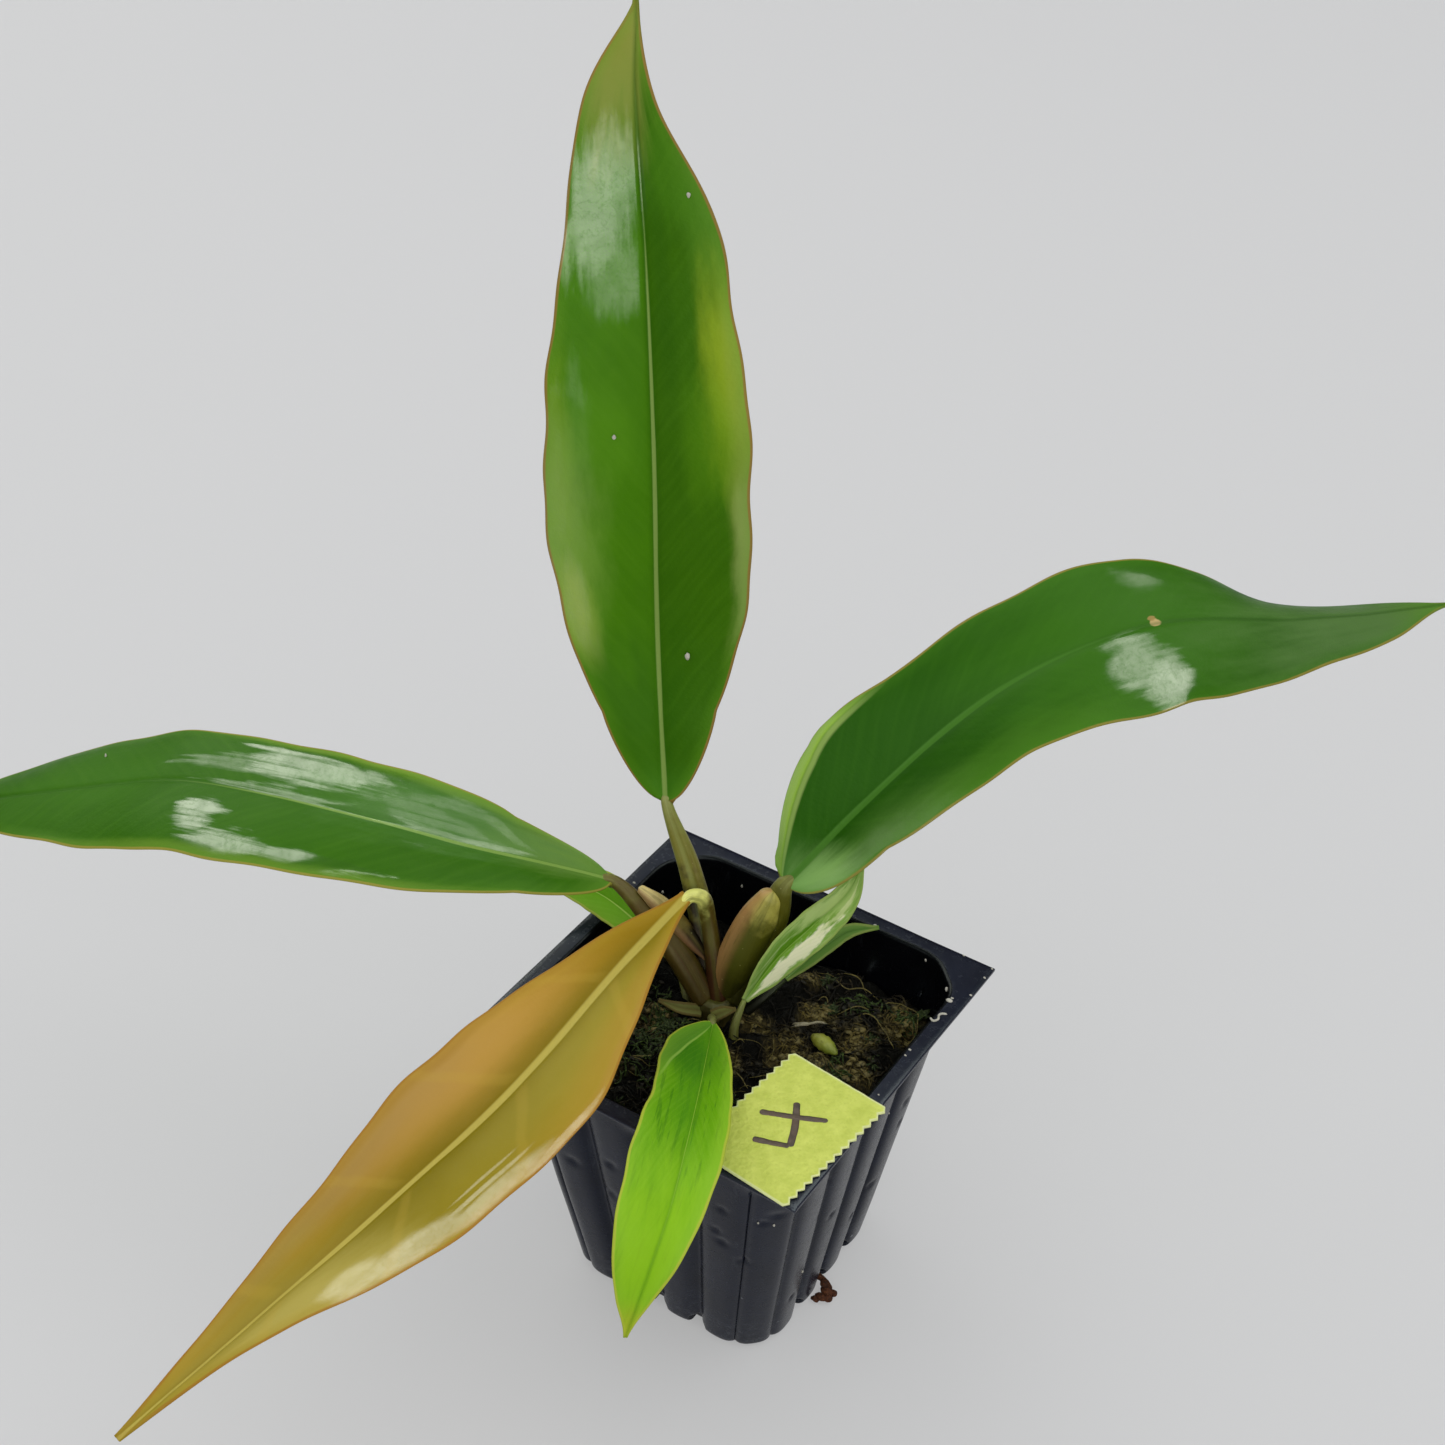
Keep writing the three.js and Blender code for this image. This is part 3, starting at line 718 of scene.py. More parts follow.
class Effect(Enum):
    """The effects that several finishes use."""

    BLOTCH = BlotchEffect()
    VEINS = VeinEffect()
    MOTTLE = MottleEffect()
    SPECKS = SpeckEffect()
    MARGIN = MarginEffect()


# Finishes

PATCH_WIDTH = 0.35
CLUMP_UNIT = 40.0
LEAF_SPECK = "#c8cfa8"
STALK_SPECK = "#b8b474"
PLASTIC_TINT = (0.78, 0.88, 1.0, 1.0)
FLOOR_SHADE = "#929094"


@dataclass(frozen=True)
class Finish:
    """What every finish has: a name and one shader."""

    name: str

    def material(self) -> bpy.types.Material:
        """The finish as a material.

        Returns:
            The material.
        """
        material = bpy.data.materials.new(self.name)
        material.use_nodes = True
        material.node_tree.nodes.clear()
        wires = Wiring(material.node_tree)
        shader = wires.add("ShaderNodeBsdfPrincipled")
        wires.add("ShaderNodeOutputMaterial", {"Surface": shader.outputs[0]})
        for socket, value in self.lay(wires).items():
            wires.put(shader.inputs[socket], value)
        return material

    def lay(self, wires: Wiring) -> dict[str, object]:
        """Lays the finish's nodes.

        Args:
            wires: the material's tree.

        Returns:
            What the shader's sockets take, by name.
        """
        raise NotImplementedError


@dataclass(frozen=True)
class Fold:
    """A stretch of one margin that is bent down by `turn` degrees.

    At the base the bend lies at the share `near` of the half width, and it moves outwards by
    `slope` shares over the whole length.
    """

    side: int
    begins: float
    full: float
    last: float
    ends: float
    turn: float
    near: float
    slope: float


@dataclass(frozen=True)
class Sheen:
    """A patch on a leaf.

    Its centre is at `across` from -1 (left margin) to 1 and `along` from 0 (base) to 1.
    """

    across: float
    along: float
    wide: float
    long: float
    strength: float = 0.6
    ragged: float = 0.35
    softness: float = 0.7

    def patch(self, wires: Wiring, placed: Socket) -> Socket:
        """The patch's mask at places on the leaf, from 0 to 1.

        Args:
            wires: the tree that takes the nodes.
            placed: the places.

        Returns:
            The mask.
        """
        return wires.use(
            Effect.BLOTCH,
            Place=placed,
            Centre=(PATCH_WIDTH * (self.across * 0.5 + 0.5), self.along, 0.0),
            Size=(PATCH_WIDTH * 0.5 * self.wide, self.long, 1.0),
            Ragged=self.ragged,
            Softness=self.softness,
        )["Mask"]


@dataclass(frozen=True)
class Blotch(Sheen):
    """A patch of another colour: the leaf's own tone, and in a few places painted light and shade."""

    colour: str = "#80a040"


@dataclass(frozen=True)
class LeafFinish(Finish):
    """The upper side of a leaf."""

    left: str
    right: str
    deep: str
    light: str
    rib: str
    margin: str
    rib_width: float = 0.9
    rib_fade: float = 0.6
    vein_spacing: float = 6.5
    vein_lean: float = 1.4
    vein_light: float = 0.1
    vein_sharp: float = 14.0
    streaks: float = 0.1
    base_glow: str = "#6d9a35"
    tip: str = "#5d8a2a"
    stripes: float = 0.0
    dashes: float = 0.0
    roughness: float = 0.38
    blotches: tuple[Blotch, ...] = ()
    sheens: tuple[Sheen, ...] = ()
    sheen_streaks: float = 0.3
    fold: Fold | None = None
    # painted light and shade on the strip beyond a fold, and a painted highlight on its ridge
    strip: str = "#7ba63c"
    ridge: str = "#b4cc84"

    def lay(self, wires: Wiring) -> dict[str, object]:
        """Lays the ground, the blotches, the veins and margin, and the film over them.

        Args:
            wires: the tree that takes the nodes.

        Returns:
            The shader's inputs by name.
        """
        share, span, rim = (wires.uv(name) for name in (SHARE_MAP, SPAN_MAP, RIM_MAP))
        veins = wires.use(
            Effect.VEINS,
            Share=share,
            Span=span,
            Rib=self.rib_width,
            Spacing=self.vein_spacing,
            Lean=self.vein_lean,
            Fade=self.rib_fade,
            Sharp=self.vein_sharp,
        )
        across, along, _ = wires.split(share)
        placed = wires.joined(wires.times(across, PATCH_WIDTH), along)
        colour = self._ground(wires, across, span, veins["Streaks"])
        for blotch in self.blotches:
            patch = blotch.patch(wires, placed)
            colour = wires.paint(colour, blotch.colour, patch, blotch.strength)
        if self.fold:
            colour = self._folded(wires, self.fold, across, along, colour)
        margin = wires.use(Effect.MARGIN, Rim=rim, Share=share, Width=0.55)
        colour = self._lines(wires, along, margin, veins, colour)
        specks = wires.use(Effect.SPECKS, Place=span, Scale=22.0, Size=0.06, Share=0.03)["Mask"]
        gloss = wires.use(Effect.MOTTLE, Place=span, Scale=14.0, Contrast=1.6)
        rough = wires.times(wires.minus(gloss["Value"], 0.5), 0.16)
        grain = wires.times(wires.cells(span, 95.0).outputs["Distance"], 0.5)
        grain = wires.plus(grain, wires.noise(span, 160.0, 4.0, 0.6))
        grain = wires.plus(grain, wires.times(veins["Streaks"], 0.3))
        sockets = {
            "Base Color": wires.paint(colour, LEAF_SPECK, specks, 0.4),
            "Roughness": wires.plus(rough, self.roughness),
            "Normal": wires.bump(grain, 0.00006),
            "Specular IOR Level": 0.03,
        }
        if self.sheens:
            film = self._film(wires, span, placed)
            sockets |= {"Coat Weight": film, "Coat Roughness": 0.11, "Coat IOR": 1.9}
        return sockets

    def _ground(self, wires: Wiring, across: Socket, span: Socket, streaks: Socket) -> Socket:
        """The colour of the two halves with their mottling and streaks.

        Args:
            wires: the material's tree.
            across: the share of the width.
            span: the place on the leaf.
            streaks: the fine streaks between the veins.

        Returns:
            The colour.
        """
        colour = wires.mix(wires.step(across, 0.47, 0.53), tint(self.left), tint(self.right))
        mottle = wires.use(Effect.MOTTLE, Place=span, Scale=3.5, Contrast=2.2)
        colour = wires.paint(colour, self.deep, mottle["Value"], 0.45)
        colour = wires.paint(colour, self.light, wires.step(streaks, 0.35, 0.8), self.streaks)
        lengthwise = wires.noise(wires.sums("MULTIPLY", span, (90.0, 7.0, 1.0)), 1.0, 3.0, 0.6)
        pale = wires.step(lengthwise, 0.52, 0.62, 0.0, self.stripes)
        dark = wires.step(lengthwise, 0.47, 0.36, 0.0, self.dashes)
        return wires.paint(wires.paint(colour, self.light, pale), self.deep, dark)

    def _folded(
        self, wires: Wiring, fold: Fold, across: Socket, along: Socket, colour: Socket
    ) -> Socket:
        """Paints light and shade on the strip beyond a fold, and a pale highlight along the fold's
        ridge.

        Args:
            wires: the material's tree.
            fold: the fold.
            across: the share of the width.
            along: the share of the length.
            colour: the colour so far.

        Returns:
            The colour.
        """
        out = wires.times(wires.minus(across, 0.5), 2.0 * fold.side)
        beyond = wires.minus(out, wires.plus(wires.times(along, fold.slope), fold.near))
        still = wires.step(along, fold.ends, fold.last)
        strip = wires.times(wires.step(beyond, 0.03, 0.1), still)
        colour = wires.paint(colour, self.strip, strip, 0.85)
        off = wires.math("ABSOLUTE", wires.minus(beyond, 0.035))
        ridge = wires.times(wires.step(off, 0.045, 0.01), still)
        return wires.paint(colour, self.ridge, ridge, 0.8)

    def _lines(
        self,
        wires: Wiring,
        along: Socket,
        margin: dict[str, Socket],
        veins: dict[str, Socket],
        colour: Socket,
    ) -> Socket:
        """Adds the two ends, the veins, the painted shade in the midrib's crease, and the margin.

        Args:
            wires: the material's tree.
            along: the share of the length.
            margin: the margin's masks.
            veins: the veins' masks.
            colour: the colour so far.

        Returns:
            The colour.
        """
        line = wires.times(margin["Line"], wires.step(along, 0.92, 1.0, 0.8, 0.2))
        for code, mask, strength in (
            (self.tip, wires.step(along, 0.86, 1.0), 0.7),
            (self.base_glow, wires.step(along, 0.07, 0.0), 0.45),
            (self.light, margin["Glow"], 0.3),
            (self.light, veins["Veins"], self.vein_light),
            # painted shade in the midrib's crease
            (self.deep, veins["CreaseShade"], 0.4),
            (self.rib, veins["Rib"], 0.8),
            (self.margin, line, 1.0),
        ):
            colour = wires.paint(colour, code, mask, strength)
        return colour

    def _film(self, wires: Wiring, span: Socket, placed: Socket) -> Socket:
        """Where a smooth waxy film mirrors the light, broken by streaks and fine cracks.

        Args:
            wires: the material's tree.
            span: the place on the leaf, in mm.
            placed: the place on the leaf, in shares.

        Returns:
            The film's weight.
        """
        fine = wires.noise(span, 32.0, 4.0, 0.6)
        drawn = wires.noise(wires.sums("MULTIPLY", span, (64.0, 3.4, 1.0)), 1.0, 4.0, 0.62)
        broken = wires.plus(wires.times(fine, 0.12), wires.minus(drawn, 0.5))
        broken = wires.times(wires.times(wires.minus(broken, 0.06), 8.0), self.sheen_streaks)
        total: object = 0.0
        for sheen in self.sheens:
            patch = sheen.patch(wires, placed)
            broke = wires.times(broken, wires.step(patch, 0.02, 0.3))
            mask = wires.minus(wires.plus(wires.times(patch, 1.9), broke), 0.5)
            mask = wires.step(mask, 0.0, 1.5, 0.0, sheen.strength)
            total = wires.math("MAXIMUM", total, mask)
        slow = wires.noise(span, 13.0, 4.0, 0.6, 0.8)
        total = wires.times(total, wires.step(slow, 0.34, 0.6, 0.72, 1.0))
        crumple = wires.math("ABSOLUTE", wires.minus(fine, 0.5))
        return wires.times(total, wires.step(crumple, 0.0, 0.03, 0.72, 1.0))


@dataclass(frozen=True)
class UndersideFinish(Finish):
    """The lower side of a leaf: paler and duller."""

    colour: str
    light: str
    rib: str
    margin: str

    def lay(self, wires: Wiring) -> dict[str, object]:
        """Lays the ground, the raised veins and the margin.

        Args:
            wires: the tree that takes the nodes.

        Returns:
            The shader's inputs by name.
        """
        share, span, rim = (wires.uv(name) for name in (SHARE_MAP, SPAN_MAP, RIM_MAP))
        veins = wires.use(Effect.VEINS, Share=share, Span=span, Rib=1.7, Spacing=6.5, Lean=1.4)
        mottle = wires.use(Effect.MOTTLE, Place=span, Scale=4.0, Contrast=1.8)
        margin = wires.use(Effect.MARGIN, Rim=rim, Share=share, Width=0.6)
        colour = wires.mix(mottle["Value"], tint(self.colour), tint(self.light))
        colour = wires.paint(colour, self.light, veins["Veins"], 0.35)
        colour = wires.paint(colour, self.rib, veins["Rib"], 0.8)
        grain = wires.plus(wires.noise(span, 120.0, 3.0), veins["Streaks"])
        return {
            "Base Color": wires.paint(colour, self.margin, margin["Line"], 0.7),
            "Roughness": wires.plus(wires.times(mottle["Fine"], 0.2), 0.4),
            "Normal": wires.bump(grain, 0.00006),
        }


@dataclass(frozen=True)
class StalkFinish(Finish):
    """A stalk that changes colour from its foot to its end."""

    foot: str
    middle: str
    end: str
    streak: str
    channel: str
    roughness: float = 0.4
    blush: str = ""
    lower: tuple[float, float] = (0.1, 0.5)
    upper: tuple[float, float] = (0.55, 0.95)

    def lay(self, wires: Wiring) -> dict[str, object]:
        """Lays the three colours, the blush on one side, the streaks and the channel.

        Args:
            wires: the tree that takes the nodes.

        Returns:
            The shader's inputs by name.
        """
        place = wires.place()
        turn, along, _ = wires.split(wires.uv(SHARE_MAP))
        mottle = wires.use(Effect.MOTTLE, Place=place, Scale=260.0, Contrast=1.8)
        height = wires.plus(along, wires.times(wires.minus(mottle["Value"], 0.5), 0.3))
        colour = wires.mix(wires.step(height, *self.lower), tint(self.foot), tint(self.middle))
        colour = wires.paint(colour, self.end, wires.step(height, *self.upper))
        if self.blush:
            side = wires.math("COSINE", wires.times(turn, 2 * math.pi))
            colour = wires.paint(colour, self.blush, wires.step(side, 0.1, 0.9, 0.0, 0.8))
        lines = wires.joined(wires.times(turn, 26.0), wires.times(along, 3.0))
        streaks = wires.noise(lines, 1.0, 4.0, 0.6)
        colour = wires.paint(colour, self.streak, wires.step(streaks, 0.5, 0.75, 0.0, 0.6))
        groove = wires.math("ABSOLUTE", wires.minus(turn, 0.25))
        colour = wires.paint(colour, self.channel, wires.step(groove, 0.06, 0.01, 0.0, 0.4))
        specks = wires.use(Effect.SPECKS, Place=place, Scale=1100.0, Size=0.25, Share=0.16)
        relief = wires.plus(streaks, wires.times(mottle["Fine"], 0.5))
        return {
            "Base Color": wires.paint(colour, STALK_SPECK, specks["Mask"], 0.3),
            "Roughness": wires.plus(wires.times(mottle["Fine"], 0.25), self.roughness - 0.12),
            "Normal": wires.bump(relief, 0.00012),
            "Specular IOR Level": 0.15,
        }


@dataclass(frozen=True)
class PlasticFinish(Finish):
    """The pot's thin black plastic, with dust and dried water on it."""

    dark: str
    light: str
    dust: str
    specular: float

    def lay(self, wires: Wiring) -> dict[str, object]:
        """Lays the plastic, the dust at its foot, the runs of dried water and the specks.

        Args:
            wires: the tree that takes the nodes.

        Returns:
            The shader's inputs by name.
        """
        place = wires.place()
        mottle = wires.use(Effect.MOTTLE, Place=place, Scale=70.0, Contrast=1.8)
        colour = wires.mix(mottle["Value"], tint(self.dark), tint(self.light))
        low = wires.step(wires.split(place)[2], 0.02, 0.0, 0.0, 0.12)
        dusty = wires.times(low, wires.step(mottle["Fine"], 0.35, 0.7))
        runs = wires.noise(wires.sums("MULTIPLY", place, (1.0, 1.0, 0.16)), 420.0, 3.0, 0.6)
        runs = wires.step(runs, 0.6, 0.8, 0.0, 0.08)
        specks = wires.use(Effect.SPECKS, Place=place, Scale=210.0, Size=0.13, Share=0.22)["Mask"]
        for mask, strength in ((dusty, 1.0), (runs, 1.0), (specks, 0.55)):
            colour = wires.paint(colour, self.dust, mask, strength)
        rough = wires.plus(wires.times(mottle["Fine"], 0.22), 0.14)
        return {
            "Base Color": colour,
            "Roughness": wires.plus(rough, wires.times(runs, 1.5)),
            "Normal": wires.bump(wires.noise(place, 2600.0, 3.0), 0.00005),
            "Specular IOR Level": self.specular,
            "Specular Tint": PLASTIC_TINT,
        }


@dataclass(frozen=True)
class FibreFinish(Finish):
    """Moss, fibres and crumbs: a rough mixture of three colours, with light painted on some clumps.

    Each clump has x, y and radius in mm.
    """

    dark: str
    middle: str
    light: str
    scale: float
    contrast: float = 2.4
    roughness: float = 0.75
    relief: float = 0.0004
    wet: float = 0.0
    clumps: Points = ()
    # the colour of the light painted on the clumps
    glow: str = ""
    specular: float = 0.12

    def lay(self, wires: Wiring) -> dict[str, object]:
        """Lays the mixture and the light painted on its clumps.

        Args:
            wires: the tree that takes the nodes.

        Returns:
            The shader's inputs by name.
        """
        place = wires.place()
        mottle = wires.use(Effect.MOTTLE, Place=place, Scale=self.scale, Contrast=self.contrast)
        fine = mottle["Fine"]
        colour = wires.mix(mottle["Value"], tint(self.dark), tint(self.middle))
        colour = wires.paint(colour, self.light, wires.step(fine, 0.52, 0.72), 0.7)
        # painted light on the clumps that the light falls on
        if self.clumps:
            lit = wires.times(self._lit(wires, place), wires.step(fine, 0.3, 0.6))
            colour = wires.paint(colour, self.glow, lit)
        return {
            "Base Color": colour,
            "Roughness": wires.step(fine, 0.3, 0.7, self.roughness - self.wet, self.roughness),
            "Normal": wires.bump(fine, self.relief),
            "Specular IOR Level": self.specular,
        }

    def _lit(self, wires: Wiring, place: Socket) -> Socket:
        """Where light is painted on the clumps, as a mask.

        Args:
            wires: the tree that takes the nodes.
            place: the places.

        Returns:
            The mask.
        """
        scaled = wires.sums("SCALE", place, 1.0 / (CLUMP_UNIT * MM))
        flat = wires.sums("MULTIPLY", scaled, (1.0, 1.0, 0.0))
        total: object = 0.0
        for x, y, radius in self.clumps:
            mask = wires.use(
                Effect.BLOTCH,
                Place=flat,
                Centre=(x / CLUMP_UNIT, y / CLUMP_UNIT, 0.0),
                Size=(radius / CLUMP_UNIT, radius / CLUMP_UNIT, 1.0),
                Draw=(1.0, 1.0, 1.0),
                Ragged=0.7,
                Softness=0.9,
            )["Mask"]
            total = wires.math("MAXIMUM", total, mask)
        return total


@dataclass(frozen=True)
class TapeFinish(Finish):
    """Crepe paper tape with pale cut edges."""

    colour: str = "#dbe46c"
    shade: str = "#c3cf54"
    edge: str = "#eef2b8"

    def lay(self, wires: Wiring) -> dict[str, object]:
        """Lays the paper, its dimples and its edges.

        Args:
            wires: the tree that takes the nodes.

        Returns:
            The shader's inputs by name.
        """
        span, rim = wires.uv(SPAN_MAP), wires.uv(RIM_MAP)
        mottle = wires.use(Effect.MOTTLE, Place=span, Scale=26.0, Contrast=2.2)
        colour = wires.mix(mottle["Value"], tint(self.shade), tint(self.colour))
        dimples = wires.cells(span, 95.0).outputs["Distance"]
        colour = wires.paint(colour, self.shade, wires.step(dimples, 0.5, 0.1, 0.0, 0.4))
        edge = wires.step(wires.times(wires.split(rim)[0], RIM_UNIT), 0.7, 0.1)
        relief = wires.plus(dimples, wires.times(mottle["Fine"], 0.8))
        return {
            "Base Color": wires.paint(colour, self.edge, edge, 0.75),
            "Roughness": wires.step(mottle["Fine"], 0.3, 0.7, 0.55, 0.8),
            "Normal": wires.bump(relief, 0.0002),
            "Specular IOR Level": 0.15,
        }


@dataclass(frozen=True)
class InkFinish(Finish):
    """Brown marker ink that has sunk into the paper unevenly."""

    dark: str = "#24130c"
    light: str = "#4a2c18"

    def lay(self, wires: Wiring) -> dict[str, object]:
        """Lays the ink.

        Args:
            wires: the tree that takes the nodes.

        Returns:
            The shader's inputs by name.
        """
        mottle = wires.use(Effect.MOTTLE, Place=wires.place(), Scale=500.0, Contrast=2.0)
        return {
            "Base Color": wires.mix(mottle["Value"], tint(self.dark), tint(self.light)),
            "Roughness": wires.step(mottle["Fine"], 0.3, 0.7, 0.45, 0.7),
            "Normal": wires.bump(mottle["Fine"], 0.00008),
        }


@dataclass(frozen=True)
class FloorFinish(Finish):
    """A plain pale floor."""

    colour: str = "#9e9e9f"
    glow: float = 0.31

    def lay(self, wires: Wiring) -> dict[str, object]:
        """Lays a faintly uneven colour.

        Args:
            wires: the tree that takes the nodes.

        Returns:
            The shader's inputs by name.
        """
        mottle = wires.use(Effect.MOTTLE, Place=wires.place(), Scale=1.6, Contrast=0.6)
        share = wires.times(mottle["Value"], 0.12)
        return {
            "Base Color": wires.mix(share, tint(self.colour), tint(FLOOR_SHADE)),
            "Roughness": 0.85,
            "Specular IOR Level": 0.15,
            "Emission Color": (1.0, 1.0, 1.0, 1.0),
            "Emission Strength": self.glow,
        }


# Blades


@dataclass(frozen=True)
class Wave:
    """A ripple along the margins: height in mm, waves in the length, and where it starts."""

    height: float
    count: float
    start: float


@dataclass(frozen=True)
class LeafForm:
    """The form of a blade, as in the part's source.

    Half widths are in mm, seen along the rib with the upper face up, and lifts are the degrees by
    which each half rises from the rib. All run evenly from base to tip.
    """

    rib: Points
    faces: Points
    left: Values
    right: Values
    lift_left: Values
    lift_right: Values
    bulge: float
    wave: Wave
    swell: float = 0.0
    folds: tuple[Fold, ...] = ()


@dataclass(frozen=True)
class Sheet:
    """A blade's middle surface as a grid of rows from base to tip and columns from left to right."""

    points: Array
    normals: Array
    across: Array
    along: Array
    to_margin: Array
    shares: Array
    rows: Array


HALF_PARTS = 24
FOLD_SPAN = 0.12
WAVE_SHIFT = 0.22
UNEVEN = 0.012
CROWDING = 0.121


def half_width(values: Values, t: Array, swell: float) -> Array:
    """Half widths of a blade.

    Args:
        values: half widths spread evenly from base to tip.
        t: shares of the length.
        swell: how far the base is rounded towards an ellipse, from 0 to 1.

    Returns:
        The half width at each t.
    """
    width = profile(values, t)
    share = np.clip(t * (len(values) - 1), 0.0, 1.0)
    ellipse = values[1] * np.sqrt(1.0 - (1.0 - share) ** 2)
    return width + swell * np.where(share < 1.0, np.maximum(0.0, ellipse - width), 0.0)


def lay_sheet(form: LeafForm, rows: Array, shares: Array) -> Sheet:
    """Lays a blade's middle surface.

    Args:
        form: the blade's form.
        rows: shares of the length, from 0 to 1.
        shares: shares of the half width, from -1 to 1.

    Returns:
        The surface.
    """
    curve = Curve(form.rib)
    ups = np.asarray(form.faces, float)
    place = rows * (len(ups) - 1)
    i = np.minimum(place.astype(int), len(ups) - 2)
    up = unit(ups[i] + (ups[i + 1] - ups[i]) * (place - i)[:, None])
    across, face = frame_at(curve, rows, up)
    side = np.where(shares < 0, -1.0, 1.0)
    reach = np.abs(shares)
    left, right = (half_width(w, rows, form.swell) for w in (form.left, form.right))
    half = np.where(side < 0, left[:, None], right[:, None])
    half *= 1.0 + UNEVEN * np.sin(rows * np.pi)[:, None] * (
        np.sin(31.0 * rows[:, None] + 4.0 * side + 9.0 * form.wave.start)
        + np.sin(57.0 * rows[:, None] - 7.0 * side)
    )
    lift_left, lift_right = profile(form.lift_left, rows), profile(form.lift_right, rows)
    lift = np.where(side < 0, lift_left[:, None], lift_right[:, None])
    part = half * reach / HALF_PARTS
    out, rise = np.zeros_like(half), np.zeros_like(half)
    for step in range(HALF_PARTS):
        share = (step + 0.5) / HALF_PARTS * reach
        angle = lift + form.bulge * (1.0 - 2.0 * share)
        for fold in form.folds:
            inside = smooth(rows, fold.begins, fold.full) * (
                1.0 - smooth(rows, fold.last, fold.ends)
            )
            start = fold.near + fold.slope * rows[:, None]
            bend = fold.turn * inside[:, None] * smooth(share, start, start + FOLD_SPAN)
            angle = angle - np.where(side == fold.side, bend, 0.0)
        out += np.cos(np.radians(angle)) * part
        rise += np.sin(np.radians(angle)) * part
    wave = form.wave
    turns = wave.count * rows[:, None] + wave.start + WAVE_SHIFT * side
    rise += wave.height * shares**2 * np.sin(2 * np.pi * turns)
    points = curve.at(rows)[:, None] + across[:, None] * (side * out)[..., None]
    points = points + face[:, None] * rise[..., None]
    normals = unit(np.cross(np.gradient(points, axis=1), np.gradient(points, axis=0)))
    return Sheet(
        points=points,
        normals=normals,
        across=side * half * reach,
        along=np.broadcast_to((rows * curve.length)[:, None], half.shape),
        to_margin=half * (1.0 - reach),
        shares=np.broadcast_to(shares, half.shape),
        rows=np.broadcast_to(rows[:, None], half.shape),
    )


@dataclass
class Blade:
    """A leaf blade with its relief above, its rib below and a rounded margin."""

    name: str
    node: str
    slot: str
    form: LeafForm
    upper: LeafFinish
    lower: UndersideFinish
    row_count: int = 220
    body: float = 0.5
    rib_depth: float = 1.6
    rib_width: float = 1.5
    swell: float = 0.28
    vein_spacing: float = 6.5
    seed: int = 1
    columns: Values = (
        0, 0.014, 0.028, 0.044, 0.065, 0.095, 0.135, 0.18, 0.23, 0.28, 0.33, 0.38, 0.43, 0.48,
        0.53, 0.575, 0.62, 0.655, 0.69, 0.725, 0.76, 0.8, 0.84, 0.88, 0.915, 0.945, 0.97, 0.988, 1,
    )  # fmt: skip

    def make(self) -> bpy.types.Object:
        """Builds, dresses and places the blade.

        Returns:
            The piece.
        """
        shares = np.array([-u for u in self.columns[:0:-1]] + list(self.columns))
        rows = self._rows()
        sheet = lay_sheet(self.form, rows, shares)
        top, bottom = self._relief(sheet)
        body = Body(self.name)
        count, width = sheet.points.shape[:2]
        upper = sheet.points + sheet.normals * top[..., None]
        lower = sheet.points - sheet.normals * bottom[..., None]
        outward = unit(sheet.points[:, [0, -1]] - sheet.points[:, [1, -2]])
        rims = sheet.points[:, [0, -1]] + outward * (0.35 * self.body)
        points = np.concatenate([upper, lower, rims], axis=1)
        stride = points.shape[1]
        i = np.arange(count - 1)[:, None] * stride
        a = i + np.arange(width - 1)
        tops = np.stack([a, a + 1, a + 1 + stride, a + stride], axis=-1).reshape(-1, 4)
        b = a + width
        bottoms = np.stack([b, b + stride, b + 1 + stride, b + 1], axis=-1).reshape(-1, 4)
        base = i[:, 0]
        left_rim, right_rim = base + 2 * width, base + 2 * width + 1
        edges = (
            (base, left_rim),
            (left_rim, base + width),
            (right_rim, base + width - 1),
            (base + 2 * width - 1, right_rim),
        )
        rim_faces = [np.stack([a, a + stride, b + stride, b], axis=-1) for a, b in edges]
        caps, tips = self._caps(count, width, stride)
        body.add(points, [tops, *rim_faces, caps, tips, bottoms], maps=self._maps(sheet))
        body.kinds[-1][:] = 1
        obj = body.build([self.upper.material(), self.lower.material()])
        return settle(obj, self.slot, self.node)

    def _rows(self) -> Array:
        """Shares of the length, closer together near the two ends."""
        t = np.linspace(0.0, 1.0, self.row_count)
        return t - CROWDING * np.sin(2 * np.pi * t) / (2 * np.pi)

    def _relief(self, sheet: Sheet) -> tuple[Array, Array]:
        """The soft swells, the rib and the veins.

        Args:
            sheet: the middle surface.

        Returns:
            How far the upper and the lower face stand from it, in mm.
        """
        grain = Grain(self.seed)
        x, y, reach = sheet.across, sheet.along, np.abs(sheet.across)
        fade = smooth(sheet.to_margin, 0.0, 3.0) * smooth(sheet.rows, 0.0, 0.04)
        slow = grain.flat(x / 13.0, y / 19.0) * self.swell
        quick = grain.flat(x / 4.6, y / 6.5, 7.5) * 0.07
        lean = y - 1.4 * reach + 2.0 * grain.flat(x / 9.0, y / 12.0, 3.3)
        line = (0.5 + 0.5 * np.cos(2 * np.pi * lean / self.vein_spacing)) ** 5
        veins = -0.016 * line * smooth(reach, 0.6, 3.0) * np.exp(-reach / 24.0)
        wide = 1.0 - 0.6 * sheet.rows
        groove = -0.26 * np.exp(-((reach / (1.25 * wide)) ** 2))
        ridge = 0.2 * np.exp(-((reach / (0.48 * wide)) ** 2)) * (1.0 - 0.7 * sheet.rows)
        both = (slow + quick) * fade
        thin = self.body / 2 * (1.0 - 0.45 * np.abs(sheet.shares) ** 10)
        scale = min(1.0, self.rib_depth / 1.6)
        top = thin + both + (veins + groove + ridge) * scale * smooth(sheet.to_margin, 0.0, 2.0)
        half = self.rib_width * wide
        dome = np.sqrt(np.clip(1.0 - (reach / half) ** 2, 0.0, 1.0))
        rib = self.rib_depth * (1.0 - 0.8 * sheet.rows) * dome
        bottom = thin - both + rib - 0.6 * veins * smooth(sheet.to_margin, 0.0, 2.0)
        return top, bottom

